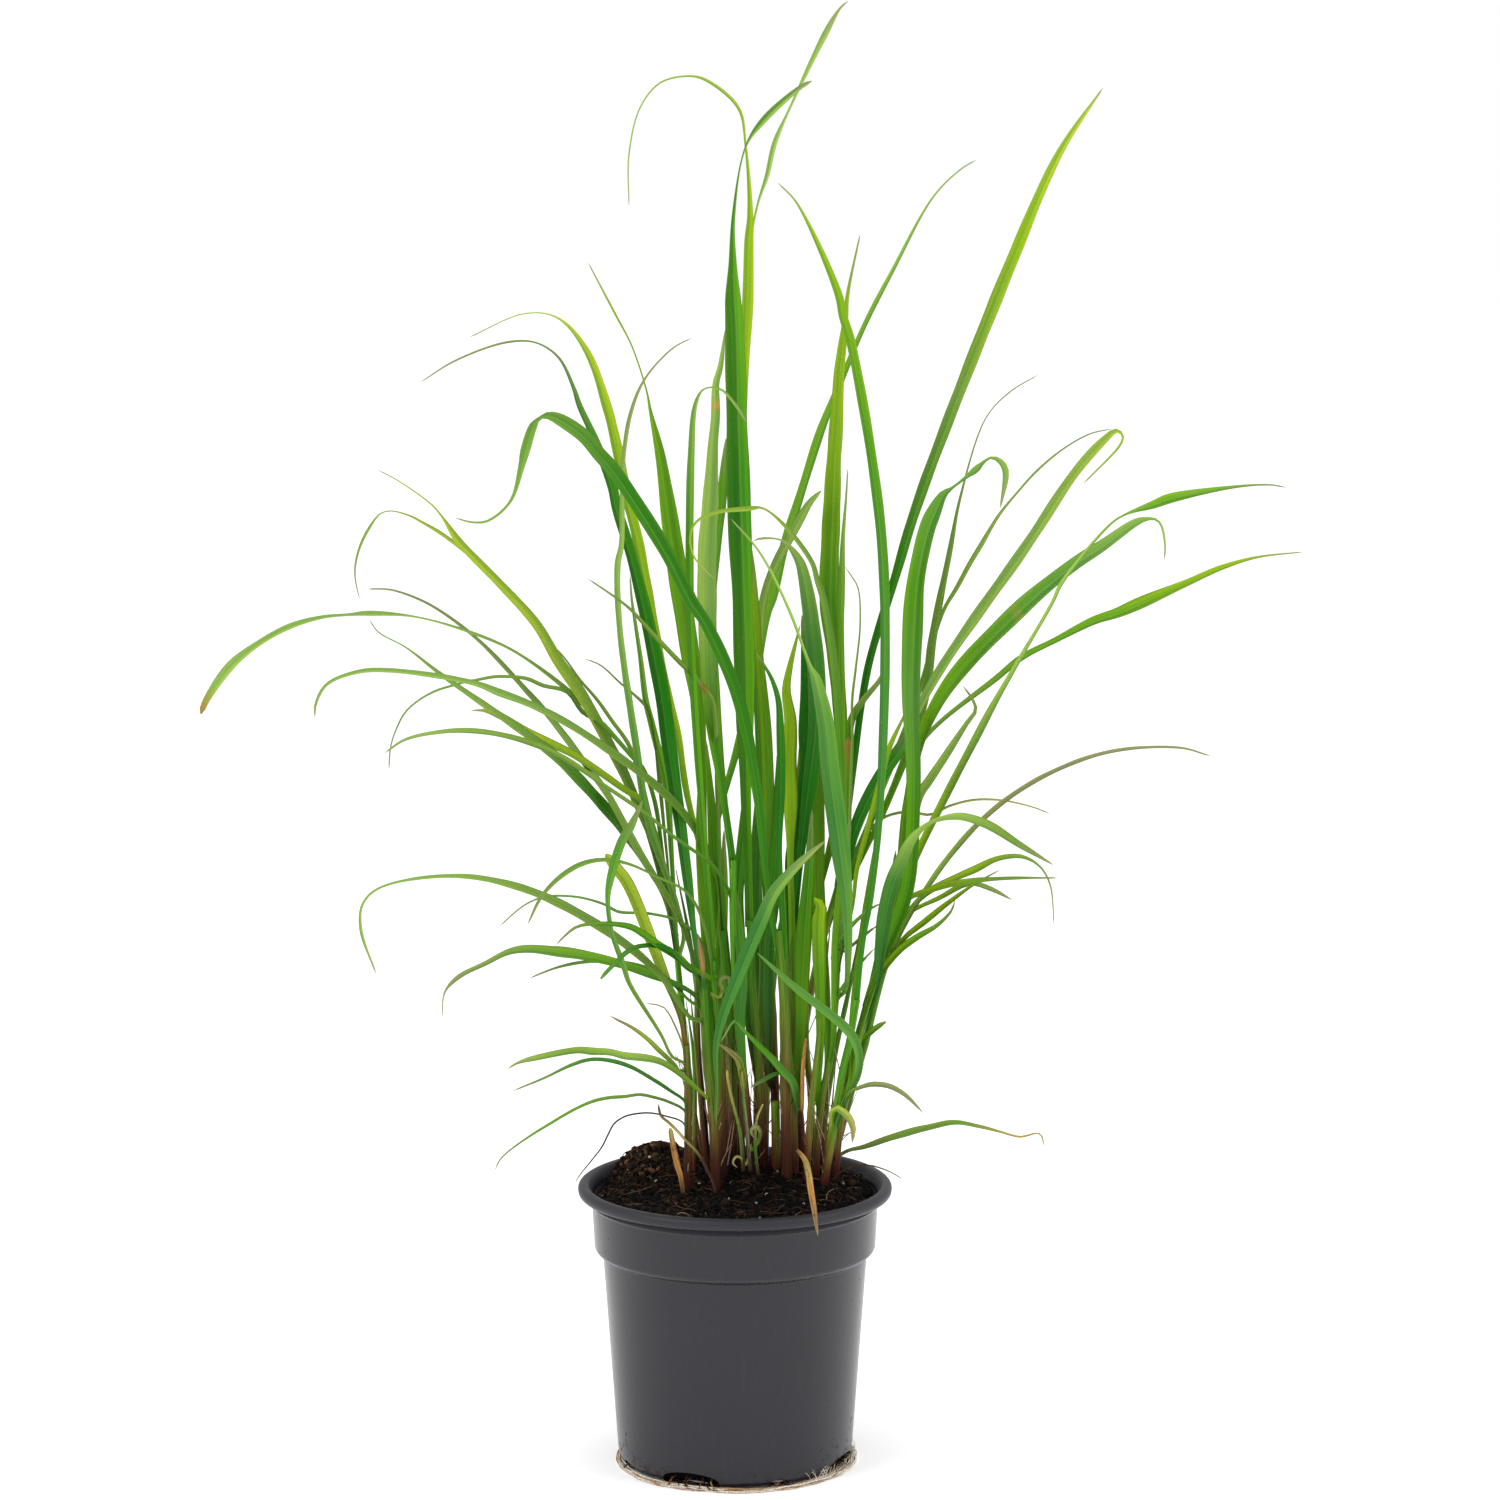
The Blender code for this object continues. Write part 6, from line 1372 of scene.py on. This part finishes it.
                    (976, 710), (972, 698), (963, 686)), width=(2, 3, 3.6, 3.7, 3.4, 2.6, 1.6, 0.6)),
        dict(stem="stem_16", at=0.8, tones="sage sage straw", depth=(60, 50, 36, 22), turn=(-45,),
             route=((842, 890), (860, 845), (882, 819), (908, 812), (930, 815), (950, 806), (975, 800),
                    (1005, 801), (1035, 808), (1050, 814)), width=(1, 1.2, 1.2, 1.2, 1, 0.8, 0.5)),
        dict(stem="stem_14", at=0.97, tones="forest sage lime sage sage", depth=(34, 42, 54, 60),
             turn=(-45,),
             route=((900, 925), (925, 895), (952, 880), (975, 870), (998, 859), (1022, 857), (1040, 867),
                    (1050, 885), (1054, 925)), width=(1.6, 2.4, 2.8, 3.1, 2.2, 1, 0.6, 0.4)),
        dict(stem="stem_14", at=0.93, tones="sage lime lime sage sage", depth=(28, 14, -2, -16),
             turn=(-45,),
             route=((893, 915), (910, 898), (925, 892), (955, 884), (1000, 879), (1058, 878)),
             width=(1.5, 2.4, 2.8, 2.4, 1.6, 1.2, 0.5)),
        dict(stem="stem_14", at=0.9, tones="fresh lime sage", depth=(36, 44, 50), turn=(-45,),
             route=((905, 918), (940, 898), (970, 884), (990, 889), (1012, 900)),
             width=(1.6, 2, 2.2, 2.4, 0.5)),
        dict(stem="stem_13", at=0.98, tones="fresh lime fresh sage", depth=(8, -4, -14), turn=(-35,),
             route=((873, 990), (882, 972), (900, 950), (918, 937), (938, 925), (952, 910), (955, 900)),
             width=(2, 2.9, 2.9, 2.6, 1.6, 0.6)),
        dict(stem="stem_14", at=0.88, tones="fresh lime lime sage", depth=(34, 24, 12), turn=(-40,),
             route=((892, 955), (905, 938), (925, 922), (950, 902), (975, 884), (1000, 870)),
             width=(1.6, 2.4, 2.5, 2, 1, 0.5)),
        dict(stem="stem_11", at=0.9, tones="jade fresh", depth=(0, -8), turn=(-35,),
             route=((833, 955), (850, 928), (872, 908), (883, 903)), width=(1.4, 2, 1.6, 0.5)),
        dict(stem="stem_11", at=0.95, tones="jade grass", depth=(6, 12), turn=(-35,),
             route=((847, 950), (865, 935), (878, 925)), width=(1.2, 1.6, 0.5)),
        dict(stem="stem_11", at=0.72, tones="jade fresh", depth=(-2, -10), turn=(-35,),
             route=((835, 1000), (852, 975), (862, 962), (875, 948)), width=(1.2, 1.8, 1.2, 0.5)),
        dict(stem="stem_12", at=0.35, tones="forest sage dusk sage", depth=(-10, -22, -32), turn=(-45,),
             route=((850, 1092), (857, 1089), (870, 1085), (880, 1085), (890, 1087), (900, 1092),
                    (908, 1098), (923, 1113)), width=(1.2, 2, 2.1, 2, 1.6, 0.5)),
        dict(stem="stem_13", at=0.55, tones="rust fresh fresh sage", depth=(10, 4), turn=(-35,),
             blunt=True,
             route=((857, 1047), (865, 1038), (875, 1029), (886, 1022)), width=(2, 2.5, 2.4, 1.6)),
        dict(stem="stem_12", at=0.28, tones="fresh citron citron tan", depth=(-6, -14), turn=(-30,),
             route=((832, 1112), (836, 1108), (843, 1112), (850, 1120), (853, 1130), (852, 1143)),
             width=(2, 3, 3.3, 3, 2, 0.6)),
    )),
}

draw = np.random.default_rng(59)
for name, (slot, leaves) in SMALL_LEAVES.items():
    blades = joined([blade(leaf, draw, 2.6 * MM, SMALL_ACROSS) for leaf in leaves])
    add_piece(name, blade_green, slot, *blades)

# Dry leaves and stubs
# Dead, curled and broken bits among the stems: tan and brown, dull, crumpled. One orange leaf has
# fallen over the front of the lip. They grow from the soil or from the stems' sheaths.
DRY_BITS = (
    dict(tones="tan straw tan rust", at_depth=(2, -4, -14, -36, -52, -64.5, -66.5, -67), turn=(10,),
         fold=0.5,
         route=((797, 1150), (800, 1153), (805, 1160), (809, 1175), (811, 1190), (814, 1208), (816, 1222),
                (818, 1236)), width=(1.2, 2.2, 2.6, 2.6, 2.4, 2.2, 1.6, 0.6)),
    dict(stem="stem_01", at=0.3, tones="umber soot soot", depth=(2, 12, 18, 20, 14), turn=(30,),
         route=((684, 1124), (665, 1116), (648, 1113), (630, 1115), (622, 1118), (614, 1124), (608, 1135),
                (602, 1147), (592, 1160), (580, 1175), (575, 1183)), width=(0.7, 0.7, 0.7, 0.6, 0.4)),
    dict(tones="umber umber straw umber", depth=(-8, -6, 0), turn=(20,),
         route=((716, 1193), (712, 1180), (707, 1170), (702, 1160), (695, 1150), (687, 1142), (678, 1132),
                (668, 1122), (661, 1116), (658, 1104)), width=(1.2, 1.2, 1.1, 1.3, 1)),
    dict(tones="umber tan tan straw", depth=(-6, -4), turn=(20,), blunt=True,
         route=((683, 1195), (680, 1175), (677, 1165), (672, 1140), (670, 1128)),
         width=(1.6, 2, 2.6, 2.4, 1.8)),
    dict(tones="umber sage straw", depth=(-6, -8), turn=(-20,), blunt=True,
         route=((744, 1172), (740, 1130), (735, 1110), (729, 1085), (727, 1070)),
         width=(1.6, 1.6, 1.4, 1)),
    dict(tones="umber dusk sage straw", depth=(-4, -8), turn=(20,), blunt=True,
         route=((750, 1172), (747, 1130), (744, 1100), (741, 1060)), width=(1.4, 1.4, 1.2, 0.8)),
    dict(stem="stem_06", at=0.3, tones="sage citron citron tan", depth=(0, -12, -20), turn=(12,),
         fold=0.6,
         route=((744, 1090), (742, 1075), (738, 1060), (728, 1050), (718, 1044)),
         width=(2, 3, 3.2, 2, 0.6)),
    dict(stem="stem_02", at=0.95, tones="sea sea sea tan tan tan", depth=(-8, -12), turn=(20,),
         route=((703, 974), (702, 962), (700, 950), (698, 936)), width=(1.6, 2.4, 2, 0.6)),
    dict(stem="stem_03", at=0.8, tones="lime citron lime", depth=(2, -6, -10), turn=(50, -20, 40),
         route=((711, 993), (719, 997), (722, 990), (720, 982), (724, 977), (729, 978), (728, 984)),
         width=(0.8, 1.6, 2, 1.6, 0.6)),
    dict(stem="stem_06", at=0.1, tones="sage fresh straw", depth=(-2, -10, -14), turn=(40, -10, 30),
         route=((752, 1150), (758, 1142), (760, 1132), (756, 1126), (751, 1131), (754, 1138)),
         width=(1.2, 1.8, 1.6, 0.8)),
    dict(stem="stem_06", at=0.06, tones="jade straw", depth=(-4, -14), turn=(30,),
         route=((745, 1165), (741, 1158), (736, 1157), (733, 1163), (738, 1168)), width=(1, 1.4, 1, 0.6)),
    dict(tones="umber sage straw", depth=(-2, -4), turn=(10,), blunt=True,
         route=((758, 1176), (755, 1140), (757, 1118), (763, 1104)), width=(1.2, 1.4, 1.2, 0.8)),
    dict(stem="stem_10", at=0.3, tones="umber tan tan", depth=(4, 2), turn=(-20,), blunt=True,
         route=((802, 1110), (803, 1070), (806, 1038)), width=(1.6, 1.8, 1)),
    dict(tones="umber umber dusk", depth=(2, -2, -8), turn=(10,),
         route=((832, 1180), (845, 1169), (866, 1165), (886, 1170), (903, 1179)), width=(0.8, 0.7, 0.4)),
)


def dry_finish():
    """Dead leaf: its tone broken by brown streaks and blotches, papery and dull."""
    finish = Finish("dry_leaf", {"Specular IOR Level": 0.2, "Subsurface Weight": 0.12,
                                 "Subsurface Radius": (1.0, 0.6, 0.25), "Subsurface Scale": 0.8 * MM})
    streaks = finish.streaks(1500.0, 60.0, 3.0)
    blotch = finish.noise(finish.place(), 320.0, 4.0, 0.65)
    colour = finish.shaded(finish.between(streaks, 0.3, 0.7), finish.attribute("tone", "Color"),
                           (0.55, 0.5, 0.45), (1.2,) * 3)
    colour = finish.mix(finish.between(blotch, 0.55, 0.7) * 0.6, colour, linear(96, 58, 38))
    return finish.feed(Base_Color=colour, Roughness=blotch * 0.2 + 0.6,
                       Normal=finish.bump(streaks + blotch, 0.2 * MM))


draw = np.random.default_rng(61)
add_piece("dry_bits", dry_finish(), "leaf_olive",
          *joined([blade(bit, draw, 1.2 * MM, SMALL_ACROSS) for bit in DRY_BITS]))

# Studio
# A white sweep of floor under white light from all round, with two soft lamps that shape the
# leaves, and the camera where the photograph's pot and leaves put it.
CAMERA_LENS = 36 * FOCAL / PICTURE_WIDTH
world = bpy.data.worlds.new("studio")
bpy.context.scene.world = world
world.use_nodes = True
world.node_tree.nodes["Background"].inputs["Color"].default_value = (1, 1, 1, 1)
world.node_tree.nodes["Background"].inputs["Strength"].default_value = 1.0
bpy.context.scene.view_settings.view_transform = "Standard"

floor_mesh = bpy.data.meshes.new("floor")
floor_mesh.from_pydata([(-6, -6, 0), (6, -6, 0), (6, 6, 0), (-6, 6, 0)], [], [(0, 1, 2, 3)])
floor_mesh.materials.append(Finish("floor", {
    "Base Color": (1, 1, 1, 1), "Roughness": 0.9, "Specular IOR Level": 0.0,
    "Emission Color": (1, 1, 1, 1), "Emission Strength": 0.12}).material)
floor = in_scene("floor", floor_mesh)


def add_lamp(name, place, target, size, watts):
    """A square lamp at a place, turned so that it shines at its target."""
    lamp = bpy.data.lights.new(name, "AREA")
    lamp.size, lamp.energy = size, watts
    holder = in_scene(name, lamp)
    holder.location = place
    direction = np.array(target) - np.array(place)
    holder.rotation_euler = (math.atan2(math.hypot(direction[0], direction[1]), -direction[2]), 0,
                             math.atan2(direction[1], direction[0]) - math.pi / 2)


add_lamp("key_left", (-1.4, -1.1, 1.5), (0, 0, 0.3), 0.9, 14)
add_lamp("fill_right", (1.5, -0.6, 1.2), (0, 0, 0.3), 0.9, 9)

camera_data = bpy.data.cameras.new("camera")
camera_data.sensor_width, camera_data.lens = 36, CAMERA_LENS
camera = in_scene("camera", camera_data)
camera.location = EYE
camera.rotation_euler = (math.pi / 2 - VIEW_PITCH, 0, 0)
bpy.context.scene.camera = camera

bpy.context.view_layer.update()
